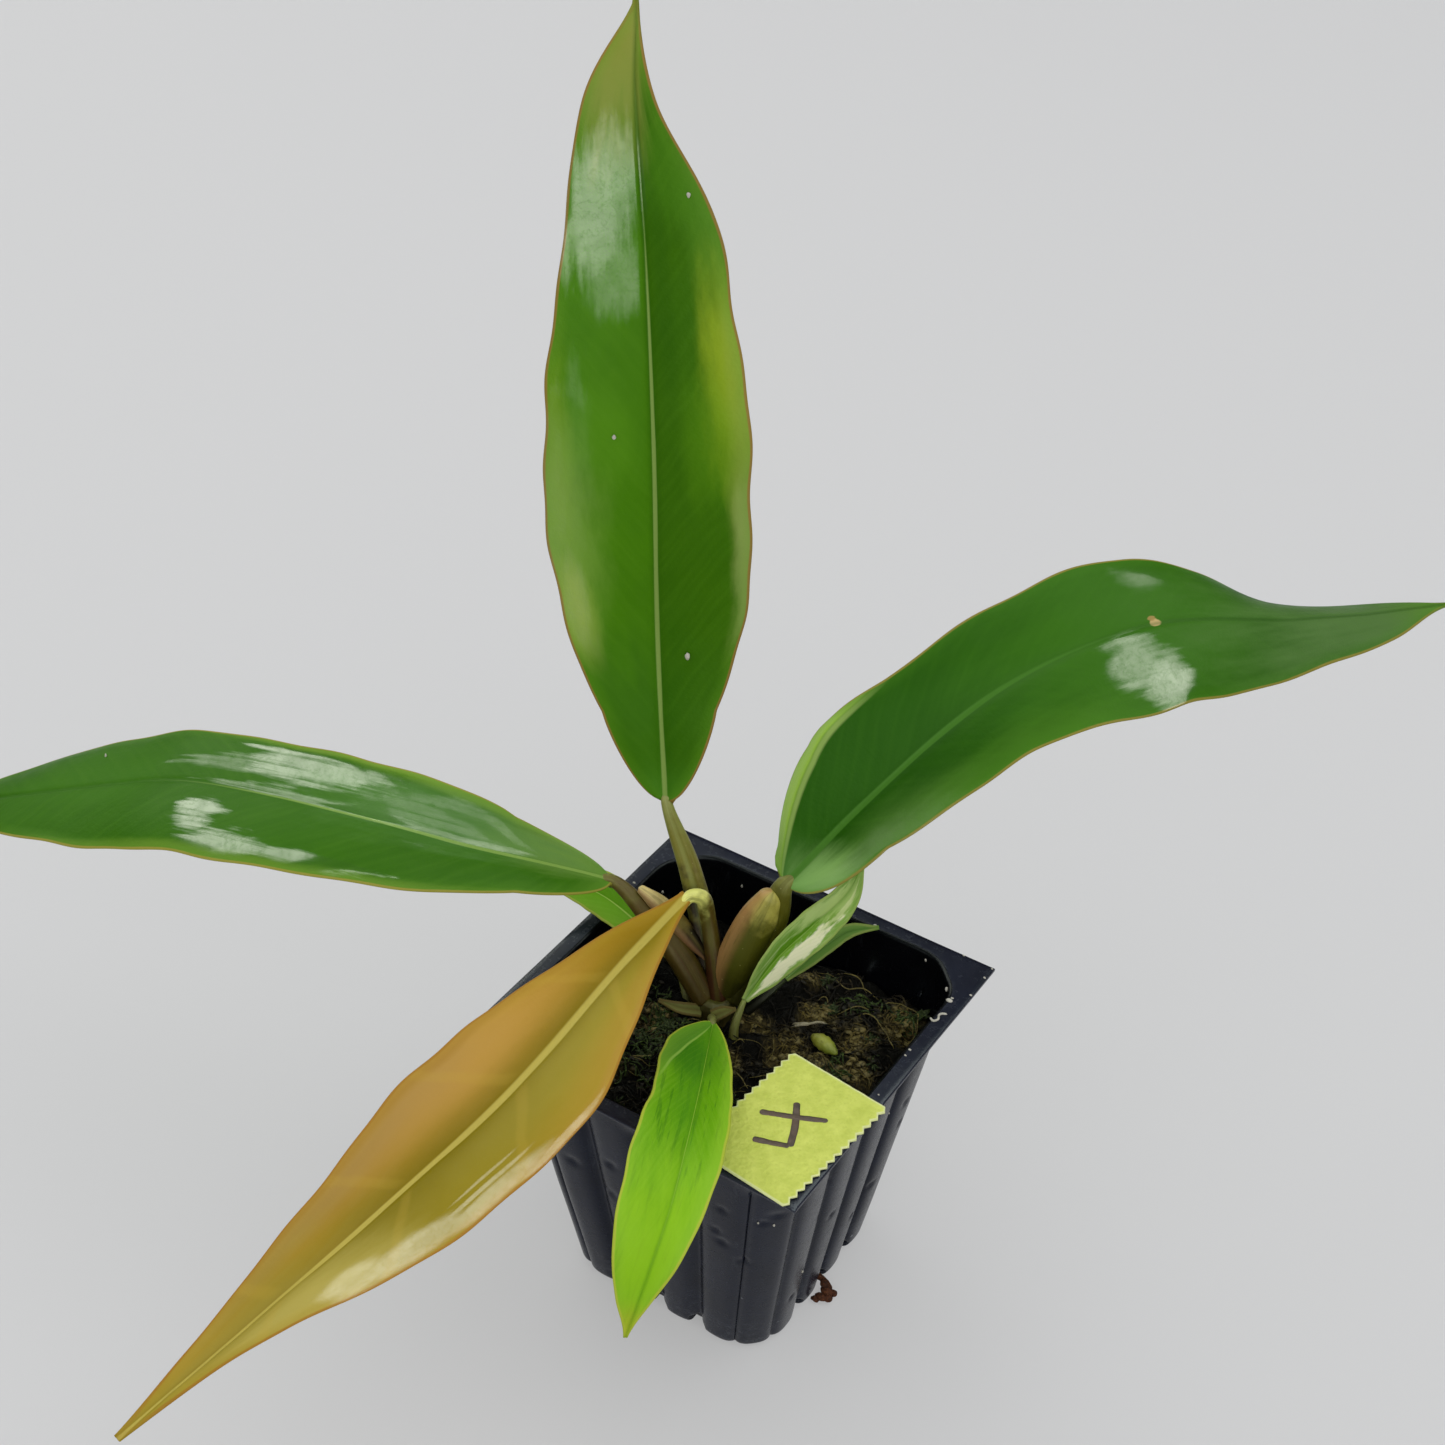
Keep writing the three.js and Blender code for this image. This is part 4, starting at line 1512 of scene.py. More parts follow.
    def _maps(self, sheet: Sheet) -> dict[str, Array]:
        """The blade's maps.

        Args:
            sheet: the middle surface.

        Returns:
            The three maps by name, in the order of the blade's points.
        """
        share = np.stack([sheet.shares * 0.5 + 0.5, sheet.rows], axis=-1)
        span = np.stack([sheet.across, sheet.along], axis=-1) / SPAN_UNIT
        rim = np.stack([sheet.to_margin / RIM_UNIT, sheet.rows], axis=-1)
        return {
            name: np.concatenate([grid, grid, grid[:, [0, -1]]], axis=1)
            for name, grid in ((SHARE_MAP, share), (SPAN_MAP, span), (RIM_MAP, rim))
        }

    @staticmethod
    def _caps(count: int, width: int, stride: int) -> tuple[Array, Array]:
        """The faces that close the base and the tip.

        Args:
            count: how many rows.
            width: points across the blade.
            stride: points in a row.

        Returns:
            The quads between the two faces, and the triangles at the rims.
        """
        j = np.arange(width - 1)
        end, low = (count - 1) * stride, width
        quads = [
            np.stack([j + 1, j, low + j, low + j + 1], axis=-1),
            np.stack([end + j, end + j + 1, end + low + j + 1, end + low + j], axis=-1),
        ]
        left, right = 2 * width, 2 * width + 1
        tris = [
            [0, left, low],
            [width - 1, low + width - 1, right],
            [end, end + low, end + left],
            [end + width - 1, end + right, end + low + width - 1],
        ]
        return np.vstack(quads), np.array(tris)


def settle(obj: bpy.types.Object, slot: str | None, *nodes: str) -> bpy.types.Object:
    """Places a piece on the body, and reports it.

    Args:
        obj: the piece.
        slot: its material slot, if any; not used.
        *nodes: the CAD solids that it stands for.

    Returns:
        The piece.
    """
    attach(obj, "root")
    if nodes:
        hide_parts(*nodes)
    log.info("%s: %d faces, for %s", obj.name, len(obj.data.polygons), ", ".join(nodes) or "-")
    return obj


RIGHT_FOLD = Fold(-1, -0.02, 0.02, 0.16, 0.27, 58, 0.24, 2.9)
FRONT_FOLD = Fold(1, -0.02, 0.02, 0.26, 0.42, 14, 0.1, 2.3)

LONG_FORMS = {
    "back": LeafForm(
        rib=(
            (-28, 13, 118), (-36, 21, 155), (-41, 26, 200), (-49, 34, 241), (-58, 43, 272),
            (-66, 55, 284),
        ),
        faces=((0.45, -0.85, 0.25), (0.4, -0.85, 0.3)),
        left=(1.3, 13, 20.4, 23.6, 23.1, 20, 16, 11, 0.2),
        right=(1.3, 12.9, 20, 21.5, 21.4, 18.8, 15, 4.2, 0.2), lift_left=(10, 10),
        lift_right=(10, 10), bulge=9, wave=Wave(0.7, 2.5, 0), swell=0.6,
    ),
    "right": LeafForm(
        rib=(
            (2, 18, 104), (14, 32, 125), (32, 56, 149), (54, 83, 160), (77, 119, 150),
            (99, 163, 138),
        ),
        faces=((0.2, -0.5, 0.8), (0.1, -0.6, 0.8), (0.1, -0.5, 0.85)),
        left=(1.3, 22.5, 17.4, 18.4, 19, 15.8, 11.5, 7, 0.4),
        right=(1.3, 12, 15.8, 18, 20.8, 18, 12.6, 8, 0.4),
        lift_left=(12, 12, 8, 0, -8, -20, -38, -38, -20), lift_right=(12, 12, 8, 6, 2, 0, 0, 0, 0),
        bulge=9, wave=Wave(0.6, 2, 0.3), swell=1.0, folds=(RIGHT_FOLD,),
    ),
    "left": LeafForm(
        rib=(
            (-35, 1, 99), (-52, -18, 112), (-82, -34, 120), (-122, -43, 117), (-148, -47, 106),
            (-204, -55, 78),
        ),
        faces=((0, -0.4, 0.9), (0, -0.3, 0.9)), left=(1.3, 9, 15, 18, 19, 18.2, 14.6, 8.6, 0.4),
        right=(1.3, 11.6, 15.6, 16.6, 16.4, 16.2, 15, 9.4, 0.4), lift_left=(4, 2, 0),
        lift_right=(-8, -12, -12), bulge=11, wave=Wave(0.6, 2.5, 0.5), swell=0.8,
    ),
    "caramel": LeafForm(
        rib=(
            (-17, 6, 99), (-15.2, -19.6, 101), (-15.4, -64.4, 96), (-25, -108, 84),
            (-49, -152, 52),
        ),
        faces=((0.1, 0.1, 1), (0.1, -0.1, 1), (0.1, 0.3, 1)),
        left=(1.3, 6.6, 13.8, 19.8, 20, 17.8, 9.4, 3.2, 0.4),
        right=(1.3, 7.4, 12.8, 16.6, 16.6, 13, 9.8, 4.8, 0.4), lift_left=(16, 16),
        lift_right=(14, 14), bulge=8, wave=Wave(0.8, 2, 0.1),
    ),
}  # fmt: skip

SMALL_FORMS = {
    "front": LeafForm(
        rib=((-2, -5, 76), (12, -32, 86), (21, -51, 90), (26, -64, 87), (27, -73, 77),
             (24, -77, 58)),
        faces=((0.3, 0, 1), (0.4, -0.3, 1), (0.5, -0.5, 0.8)),
        left=(0.9, 4.4, 6.4, 7.6, 8.4, 7.6, 5.7, 2.6, 0.4),
        right=(0.9, 8.4, 10.6, 10.4, 11.2, 11.8, 9.8, 5.2, 0.4), lift_left=(20, 16),
        lift_right=(14, 14), bulge=6, wave=Wave(0.2, 2, 0), swell=0.45, folds=(FRONT_FOLD,),
    ),
    "variegated": LeafForm(
        rib=((0.6, 4.4, 77.4), (4.4, 11.6, 87), (9.6, 19.4, 95), (13.6, 25.6, 101), (13, 34, 105)),
        faces=((0.8, -0.6, 0.4), (0.8, -0.6, 0.5)), left=(0.8, 3, 4.2, 4.6, 4.4, 3, 0.4),
        right=(0.8, 3.8, 5, 5.2, 4.8, 3, 0.4), lift_left=(14, 14), lift_right=(14, 14), bulge=5,
        wave=Wave(0.2, 2, 0),
    ),
    "narrow": LeafForm(
        rib=((4, 17, 76), (8, 26, 81), (12, 32, 84), (17, 37, 84)),
        faces=((0.4, -0.3, 0.9), (0.3, -0.4, 0.8)), left=(0.7, 2, 2.3, 1.6, 0.4),
        right=(0.7, 2, 2.3, 1.6, 0.4), lift_left=(20, 20), lift_right=(20, 20), bulge=4,
        wave=Wave(0, 1, 0),
    ),
    "rear": LeafForm(
        rib=((-21.4, 7.6, 76), (-31, 8, 81), (-42, 8, 85), (-53, 6, 87), (-61, 7, 86)),
        faces=((0, -0.3, 1), (0, -0.3, 1)), left=(0.8, 3.6, 5.4, 5.6, 4, 0.4),
        right=(0.8, 3.6, 5.4, 5.6, 4, 0.4), lift_left=(12, 12), lift_right=(12, 12), bulge=5,
        wave=Wave(0.2, 2, 0),
    ),
}  # fmt: skip

BRACT_FORMS = {
    name: LeafForm(
        rib=rib, faces=((0.3, -0.6, 0.8), (0.3, -0.6, 0.8)), left=(1.5, 1.3, 0.4),
        right=(1.5, 1.3, 0.4), lift_left=(10, 10), lift_right=(10, 10), bulge=0, wave=Wave(0, 1, 0),
    )
    for name, rib in {
        "left": ((-9.4, 1.6, 70.6), (-13.2, -2, 72.4), (-18, -3.6, 73.4)),
        "front": ((-4.6, -1, 73.6), (-2.4, 0, 75.4), (0.4, 1, 77)),
    }.items()
}

GREEN_BELOW = UndersideFinish("green_underside", "#56803a", "#6f9a4a", "#8fae62", "#868044")
CARAMEL_BELOW = UndersideFinish("caramel_underside", "#a3703c", "#b98a4e", "#c9a860", "#9c5c40")
YOUNG_BELOW = UndersideFinish("young_underside", "#6f9c3c", "#8ab552", "#b4cc7c", "#a8b860")
PALE_BELOW = UndersideFinish("pale_underside", "#8fae6a", "#c9d0a0", "#d8dcb4", "#c9c68a")

FINISHES_ABOVE = {
    "back": LeafFinish(
        name="back_leaf", left="#4a8206", right="#3c6c04", deep="#285a03", light="#659a22",
        rib="#8ca654", margin="#96703a", streaks=0.12, rib_width=0.7, rib_fade=0.62,
        vein_light=0.03, tip="#8a8c34", base_glow="#4f8a24",
        blotches=(
            Blotch(0.86, 0.57, 0.26, 0.1, 0.75, 0.5, 1.4, "#9cb424"),
            Blotch(0.98, 0.46, 0.16, 0.18, 0.6, 0.4, 1.3, "#94a848"),
            Blotch(0.6, 0.49, 0.26, 0.07, 0.4, 0.5, 1.3, "#5f9410"),
            # painted sheen: a lighter patch high on the right half
            Blotch(0.9, 0.74, 0.3, 0.08, 0.4, 0.4, 1.3, "#5c9024"),
            Blotch(-1.0, 0.44, 0.2, 0.14, 0.65, 0.4, 1.2, "#7ea020"),
            Blotch(-0.84, 0.36, 0.3, 0.12, 0.6, 0.4, 1.3, "#88ac48"),
            Blotch(-0.9, 0.26, 0.22, 0.06, 0.8, 0.4, 1.2, "#98b048"),
            Blotch(0.5, 0.8, 0.4, 0.06, 0.4, 0.6, 1.2, "#4f8818"),
            # partly the tip's own olive colour, partly a painted highlight on the left half near the
            # tip
            Blotch(-0.4, 0.93, 0.8, 0.1, 0.85, 0.4, 1.2, "#8a9440"),
            Blotch(0.98, 0.34, 0.14, 0.1, 0.6, 0.4, 0.9, "#98ac60"),
            Blotch(-0.3, 0.08, 0.9, 0.12, 0.6, 0.4, 1.3, "#2e6006"),
            # painted shade: a dark line along the rib, and a darker patch in the right half beside it
            Blotch(0.0, 0.5, 0.05, 0.5, 0.3, 0.4, 1.3, "#2c5c04"),
            Blotch(0.2, 0.66, 0.12, 0.12, 0.4, 0.5, 1.3, "#2c5c04"),
            Blotch(-0.5, 0.5, 0.3, 0.06, 0.35, 0.6, 1.3, "#5c9418"),
        ),
        sheens=(
            Sheen(-0.66, 0.755, 0.5, 0.085, 0.56, 0.4, 1.2),
            Sheen(-0.42, 0.79, 0.5, 0.07, 0.46, 0.4, 1.2),
            Sheen(-0.36, 0.68, 0.35, 0.05, 0.26, 0.4, 1.4),
            Sheen(-0.84, 0.28, 0.16, 0.07, 0.42, 0.5, 1.3),
            Sheen(-0.96, 0.4, 0.16, 0.14, 0.3, 0.5, 1.2),
            Sheen(-0.74, 0.45, 0.2, 0.12, 0.16, 0.5, 1.4),
        ),
        sheen_streaks=0.2,
    ),
    "right": LeafFinish(
        name="right_leaf", left="#275a05", right="#255605", deep="#1b4803", light="#4f8a20",
        # the folded strip is paler, partly its translucent tone and partly painted light; its ridge
        # carries a painted highlight
        rib="#4a7e28", margin="#96863c", streaks=0.06, ridge="#9cb860", strip="#a4cc4c",
        base_glow="#5c8c40", rib_width=1.0, rib_fade=0.36, vein_light=0.03,
        blotches=(
            Blotch(0.0, 0.52, 1.3, 0.18, 0.6, 0.3, 1.4, "#427a18"),
            # painted sheen on the basal lobe and along the lower margin, over the lobe's own paler
            # tone
            Blotch(0.9, 0.02, 0.8, 0.06, 0.9, 0.3, 1.2, "#a4d078"),
            Blotch(0.95, 0.11, 0.5, 0.12, 0.5, 0.3, 1.5, "#648e3c"),
            Blotch(0.9, 0.3, 0.3, 0.14, 0.5, 0.3, 1.5, "#508420"),
            # painted sheen: a greyish patch near the tip
            Blotch(0.2, 0.9, 1.2, 0.24, 0.7, 0.4, 1.5, "#628448"),
            Blotch(-0.03, 0.53, 0.06, 0.008, 0.95, 1.3, 0.35, "#cfb478"),
            Blotch(-0.08, 0.528, 0.05, 0.007, 0.9, 1.3, 0.35, "#a88c50"),
        ),
        sheens=(
            Sheen(0.7, 0.515, 0.38, 0.034, 0.92, 0.6, 1.5),
            Sheen(0.36, 0.49, 0.36, 0.034, 0.7, 0.7, 1.6),
            Sheen(-0.72, 0.54, 0.24, 0.03, 0.3, 0.5, 1.7),
            Sheen(0.95, 0.1, 0.4, 0.12, 0.14, 0.3, 1.6),
        ),
        sheen_streaks=0.16, fold=RIGHT_FOLD,
    ),
    "left": LeafFinish(
        name="left_leaf", left="#386c0a", right="#386c0a", deep="#2a5c06", light="#679a2c",
        rib="#8aac50", margin="#a09440", rib_width=0.55, rib_fade=0.38, vein_light=0.03,
        blotches=(
            Blotch(1.0, 0.15, 0.2, 0.2, 0.7, 0.3, 1.0, "#86a838"),
            Blotch(1.0, 0.36, 0.1, 0.16, 0.6, 0.3, 1.0, "#8aa83c"),
            Blotch(-1.0, 0.42, 0.12, 0.3, 0.45, 0.4, 1.0, "#80a238"),
            Blotch(0.4, 0.07, 0.6, 0.08, 0.6, 0.4, 1.2, "#88a850"),
            Blotch(0.35, 0.2, 0.5, 0.18, 0.6, 0.6, 1.2, "#5c8844"),
            Blotch(0.2, 0.7, 0.6, 0.1, 0.3, 0.5, 1.4, "#4c8420"),
        ),
        sheens=(
            Sheen(0.42, 0.49, 0.18, 0.07, 0.34, 0.7, 1.4),
            Sheen(0.58, 0.39, 0.38, 0.08, 0.76, 0.7, 1.4),
            Sheen(0.75, 0.33, 0.22, 0.08, 0.76, 0.7, 1.3),
            Sheen(0.42, 0.2, 0.44, 0.16, 0.2, 0.9, 1.9),
            Sheen(0.06, 0.38, 0.05, 0.16, 0.5, 0.5, 0.9),
            Sheen(0.09, 0.22, 0.07, 0.12, 0.5, 0.7, 1.2),
            Sheen(-0.5, 0.5, 0.26, 0.03, 0.9, 0.7, 1.4),
            Sheen(-0.78, 0.44, 0.2, 0.06, 0.8, 0.7, 1.4),
            Sheen(-0.82, 0.36, 0.14, 0.08, 0.75, 0.7, 1.4),
        ),
        sheen_streaks=0.62,
    ),
    "caramel": LeafFinish(
        name="caramel_leaf", left="#9c8a10", right="#ac861a", deep="#806a04", light="#c8a840",
        rib="#ccbc5c", margin="#a8782c", vein_sharp=500.0, rib_width=1.25, rib_fade=1.2,
        vein_spacing=33.0, vein_lean=0.95, vein_light=0.16, base_glow="#8c7410", tip="#8a8420",
        streaks=0.04, roughness=0.4,
        blotches=(
            Blotch(0.0, 0.42, 0.34, 0.5, 0.7, 0.2, 1.6, "#786c08"),
            Blotch(-0.4, 0.32, 0.3, 0.16, 0.6, 0.2, 1.6, "#ac9c38"),
            Blotch(-0.5, 0.5, 0.3, 0.2, 0.4, 0.2, 1.6, "#8a7c14"),
            Blotch(0.7, 0.4, 0.4, 0.18, 0.8, 0.2, 1.6, "#c89a48"),
            Blotch(0.85, 0.62, 0.35, 0.2, 0.6, 0.2, 1.6, "#a88850"),
            Blotch(-0.1, 0.86, 1.0, 0.2, 0.6, 0.3, 1.4, "#ac9c44"),
            Blotch(-0.85, 0.22, 0.3, 0.2, 0.6, 0.2, 1.4, "#b89434"),
            # partly the leaf's paler tone, partly a painted highlight along the lower margin
            Blotch(-0.6, 0.72, 0.4, 0.1, 0.7, 0.3, 1.4, "#c4b45c"),
            Blotch(0.3, 0.08, 1.0, 0.1, 0.4, 0.3, 1.4, "#8c700a"),
            Blotch(0.97, 0.5, 0.1, 0.5, 0.5, 0.4, 1.2, "#9c6c20"),
            Blotch(-0.97, 0.3, 0.08, 0.3, 0.4, 0.4, 1.2, "#b07c38"),
        ),
        sheens=(
            Sheen(-0.72, 0.675, 0.28, 0.04, 0.46, 0.2, 1.2),
            Sheen(-0.8, 0.61, 0.18, 0.07, 0.6, 0.2, 1.1),
            Sheen(-0.88, 0.51, 0.1, 0.09, 0.56, 0.2, 1.0),
            Sheen(-0.95, 0.42, 0.05, 0.08, 0.5, 0.2, 1.0),
            Sheen(-0.74, 0.52, 0.03, 0.08, 0.5, 0.2, 1.0),
            Sheen(-0.64, 0.5, 0.02, 0.05, 0.4, 0.2, 1.0),
        ),
        sheen_streaks=0.12,
    ),
    "front": LeafFinish(
        name="front_leaf", left="#70b008", right="#68a80a", deep="#478410", light="#98c838",
        rib="#94bc3c", margin="#b8c042", rib_width=0.2, rib_fade=0.6, vein_spacing=3.2,
        vein_lean=2.8, vein_light=0.06, dashes=0.8, streaks=0.24, tip="#c4b42c",
        base_glow="#4c8c20",
        blotches=(
            Blotch(0.0, 0.1, 1.3, 0.16, 0.6, 0.3, 1.3, "#508c1c"),
            Blotch(0.4, 0.22, 0.4, 0.1, 0.8, 0.3, 1.2, "#3c7c14"),
            Blotch(0.2, 0.4, 0.3, 0.1, 0.6, 0.6, 1.2, "#589814"),
            Blotch(0.0, 0.8, 1.4, 0.22, 0.8, 0.4, 1.4, "#98cc24"),
            Blotch(-0.95, 0.5, 0.3, 0.3, 0.6, 0.3, 1.2, "#8cc028"),
            Blotch(0.2, 0.3, 0.05, 0.2, 0.4, 0.9, 0.6, "#4c8c14"),
            Blotch(-0.1, 0.42, 0.04, 0.16, 0.4, 0.9, 0.6, "#508c14"),
        ),
        # the folded strip is painted darker as shade; its ridge carries a painted highlight
        fold=FRONT_FOLD, strip="#5f942c", ridge="#94bc50",
    ),
    "variegated": LeafFinish(
        name="variegated_leaf", left="#5a9016", right="#74a428", deep="#4c8010", light="#b8cc84",
        rib="#8cb048", margin="#9cb45c", rib_width=0.25, streaks=0.1, stripes=0.35,
        vein_spacing=2.8, vein_lean=3.4, vein_light=0.1, tip="#9cc05a", base_glow="#b8c890",
        blotches=(
            Blotch(-0.5, 0.64, 0.5, 0.14, 0.85, 0.7, 0.8, "#b8d080"),
            Blotch(0.0, 0.76, 0.6, 0.14, 0.7, 0.7, 0.8, "#b4cc78"),
            Blotch(0.52, 0.33, 0.3, 0.32, 0.97, 0.7, 0.5, "#f4f2cc"),
            Blotch(0.45, 0.72, 0.12, 0.2, 0.6, 0.9, 0.6, "#dce4a4"),
            Blotch(-0.95, 0.4, 0.06, 0.5, 0.7, 0.4, 0.5, "#bccc84"),
            Blotch(-0.45, 0.3, 0.05, 0.1, 0.5, 0.9, 0.6, "#b4cc84"),
        ),
    ),
    "narrow": LeafFinish(
        name="narrow_leaf", left="#66903a", right="#5a8432", deep="#3a6420", light="#7ea04e",
        rib="#8cb060", margin="#86964c", rib_width=0.3,
    ),
    "rear": LeafFinish(
        name="rear_leaf", left="#6fa81a", right="#66a01a", deep="#4a8a0e", light="#8fbc38",
        rib="#a8c858", margin="#a8b04c", rib_width=0.4, vein_spacing=3.5, vein_lean=2.2,
    ),
}  # fmt: skip

BRACT_ABOVE = LeafFinish(
    name="dry_bract",
    left="#6c7034",
    right="#606630",
    deep="#48461c",
    light="#8c8c54",
    rib="#645c30",
    margin="#5c4c28",
    rib_width=0.25,
    tip="#5c4024",
    base_glow="#54542c",
    roughness=0.55,
)  # fmt: skip
BRACT_BELOW = UndersideFinish("dry_bract_underside", "#54502c", "#6c6c3c", "#5c5030", "#4c3820")


# Stalks, crown and roots


@dataclass(frozen=True)
class StalkForm:
    """A stalk along a curve, as in the part's source."""

    points: Points
    radii: Values
    up: Point
    channel: float = 0.0
    wide: float = 1.0


PETIOLES = {
    "caramel": StalkForm(
        ((-7.4, 6, 71), (-10.6, 8, 83), (-14, 10, 93), (-15, 9.4, 97.4), (-16.6, 6.6, 99)),
        (2.6, 2.2, 1.9, 1.9),
        (0.5, -0.85, 0.2),
        0.1,
    ),
    "back": StalkForm(
        ((-10, 8, 71), (-15, 11, 86), (-21, 13, 101), (-27.6, 13, 117.5)),
        (3.4, 3, 2.5, 2),
        (0.5, -0.85, 0.2),
        0.35,
        1.15,
    ),
    "right": StalkForm(
        ((-6, 8, 71), (-4, 12, 81), (-0.5, 16.4, 92), (1.8, 17.8, 103.6)),
        (3.2, 3.3, 3.1, 2.6),
        (0.2, -0.6, 0.8),
        0.1,
        1.25,
    ),
    "left": StalkForm(
        ((-10, 4.6, 71), (-17, 4, 81.5), (-25.4, 3, 91), (-34.6, 1.2, 98.8)),
        (3.2, 3.2, 2.7, 2),
        (0, -0.3, 1),
        0.2,
    ),
}

SHEATHS = {
    "right": StalkForm(
        ((-6.8, 8, 72), (-5.4, 9.8, 82), (-2.8, 13.2, 92.6), (0.3, 15.7, 102.6)),
        (2.8, 3.8, 4.1, 3.7, 2.2),
        (0.4, -0.8, 0.3),
        0.0,
        1.2,
    ),
    "left": StalkForm(
        ((-12, 8, 80.5), (-18, 7, 87), (-24, 5, 94), (-28.6, 3.4, 98)),
        (0.6, 1.7, 2.1, 1.9, 0.9),
        (0, -0.3, 1),
        0.2,
        1.2,
    ),
}

SMALL_STALKS = {
    "front": ((-5.4, 1, 70), (-4.4, -1.6, 73.6), (-2.5, -4.4, 75.9)),
    "variegated": ((1, -0.6, 67), (0.4, 0.8, 72), (0.5, 4, 76.8)),
    "narrow": ((-2, 9.5, 68), (1, 12, 72), (3.7, 16.4, 75.6)),
    "rear": ((-15, 4, 67), (-17.4, 6, 71.6), (-20.9, 7.5, 75.7)),
}
SMALL_STALK_RADII = (1.3, 1.1, 0.9)

STALK_FINISHES = {
    "caramel": StalkFinish(
        "caramel_stalk", "#381c06", "#50480e", "#e8e880", "#502c10", "#50500e", upper=(0.45, 0.7)
    ),
    "back": StalkFinish(
        "back_stalk", "#1c1006", "#7c7830", "#8c9450", "#5c4820", "#98a05c", lower=(0.3, 0.55)
    ),
    "right": StalkFinish("right_stalk", "#2c2c04", "#545208", "#8c9044", "#3c3c08", "#545410"),
    "left": StalkFinish("left_stalk", "#40340c", "#564818", "#747a28", "#5c3018", "#5c501c"),
}
SHEATH_FINISH = {
    # the pale end colour is a painted highlight on the sheath's top
    "right": StalkFinish(
        "right_sheath", "#2c2c04", "#4c4c06", "#b0a84c", "#3c3c08", "#4c4c0c", 0.4, "#b08450",
        upper=(0.66, 0.95),
    ),
    "left": StalkFinish(
        "left_sheath", "#100a04", "#7c6c30", "#dcc880", "#6c5428", "#80743a", 0.4, "#8c6844",
        lower=(0.25, 0.5),
    ),
}  # fmt: skip
YOUNG_STALK = StalkFinish("young_stalk", "#50501c", "#74783a", "#8a9c44", "#84845c", "#7c8448")
NARROW_STALK = StalkFinish("narrow_stalk", "#14140a", "#1c2010", "#34401c", "#18180a", "#202410")
CROWN_FINISH = StalkFinish("crown_stem", "#1c180a", "#343010", "#484814", "#50401c", "#3c380f")


@dataclass
class Stalks:
    """The petioles, their sheaths and the short stalks of the young leaves."""

    run_on: float = 0.07

    def make(self) -> None:
        """Builds every stalk."""
        for name, form in PETIOLES.items():
            grown = self._run_on(form, LONG_FORMS[name], (1.5, 1.3, 1.0), (1.1, 0.7))
            self._tube(f"petiole_{name}", "petiole", grown, STALK_FINISHES[name])
        for name, form in SHEATHS.items():
            self._tube(f"sheath_{name}", "sheath", form, SHEATH_FINISH[name])
        for name, points in SMALL_STALKS.items():
            form = StalkForm(points, SMALL_STALK_RADII, SMALL_FORMS[name].faces[0], 0.15)
            grown = self._run_on(form, SMALL_FORMS[name], (0.75, 0.6, 0.5), (0.6, 0.3))
            finish = NARROW_STALK if name == "narrow" else YOUNG_STALK
            self._tube(f"stalk_{name}", "petiole", grown, finish)

    def _run_on(self, form: StalkForm, leaf: LeafForm, depths: Values, radii: Values) -> StalkForm:
        """A stalk that runs on a little under the blade as its rib.

        Args:
            form: the stalk up to the blade.
            leaf: the blade.
            depths: how far the added points lie under the blade's rib, in mm.
            radii: the added radii.

        Returns:
            The longer stalk.
        """
        curve = Curve(leaf.rib)
        t = np.array([0.25, 0.6, 1.0]) * self.run_on
        _, face = frame_at(curve, t, np.asarray(leaf.faces[0], float))
        under = curve.at(t) - face * np.array(depths)[:, None]
        points = form.points + tuple(tuple(p) for p in under)
        return StalkForm(points, form.radii + radii, form.up, form.channel, form.wide)

    @staticmethod
    def _tube(node: str, slot: str, form: StalkForm, finish: StalkFinish) -> None:
        """Builds one stalk.

        Args:
            node: the CAD solid that it stands for.
            slot: its material slot.
            form: its form.
            finish: its finish.
        """
        sides = 32
        rings, t, length = tube_rings(
            form.points, form.radii, form.up, 72, sides, form.channel, form.wide, 0.02
        )
        body = Body(f"{node}_skin")
        body.add_rings(rings, tube_maps(t, sides, length))
        settle(body.build([finish.material()]), slot, node)


@dataclass
class Crown:
    """The short stem that every stalk springs from, with rings where old leaves fell."""

    centre: tuple[float, float] = (-8.0, 5.6)
    top: float = 73.0
    radius: float = 4.5
    outline: tuple[tuple[float, float], ...] = (
        (0.0, 14.0), (0.8, 14.0), (0.88, 11.0), (0.95, 8.0), (1.08, 6.5), (0.98, 5.0), (1.0, 2.0),
        (0.86, 0.6), (0.6, 0.0), (0.0, 0.0),
    )  # fmt: skip

    def make(self) -> bpy.types.Object:
        """Builds the crown.

        Returns:
            The piece.
        """
        shares = np.array(self.outline)
        steps = np.linspace(0, len(shares) - 1, 60)
        index = np.arange(len(shares))
        radius = np.interp(steps, index, shares[:, 0]) * self.radius
        below = np.interp(steps, index, shares[:, 1])
        sides = 64
        angle = around(sides)
        lumps = 1.0 + 0.05 * np.sin(5 * angle)[None, :] * np.sin(below * 0.8)[:, None]
        r = np.maximum(radius[:, None], 0.02) * lumps
        x, y = self.centre[0] + r * np.cos(angle), self.centre[1] + r * np.sin(angle)
        z = (self.top - below)[:, None] + 0.12 * np.sin(3 * angle)
        body = Body("crown_skin")
        maps = tube_maps(np.linspace(0, 1, len(r)), sides, self.outline[0][1])
        body.add_rings(np.stack([x, y, z], axis=-1), maps)
        return settle(body.build([CROWN_FINISH.material()]), "stem", "crown")


def add_lump(body: Body, centre: Point, radii: Point, grain: Grain, turn: float) -> None:
    """Adds a small uneven lump.

    Args:
        body: what it is added to.
        centre: its middle, in mm.
        radii: its three radii, in mm.
        grain: the grain that makes it uneven.
        turn: where in the grain it lies.
    """
    sides, count = 10, 8
    angle = around(sides)
    rise = np.linspace(-0.48 * np.pi, 0.48 * np.pi, count)[:, None]
    flat = np.cos(rise)
    local = np.broadcast_arrays(flat * np.cos(angle), flat * np.sin(angle), np.sin(rise))
    local = np.stack(local, axis=-1)
    local *= (1.0 + 0.38 * grain.at(local * 1.3 + turn))[..., None]
    body.add_rings(local * np.array(radii) + np.array(centre))


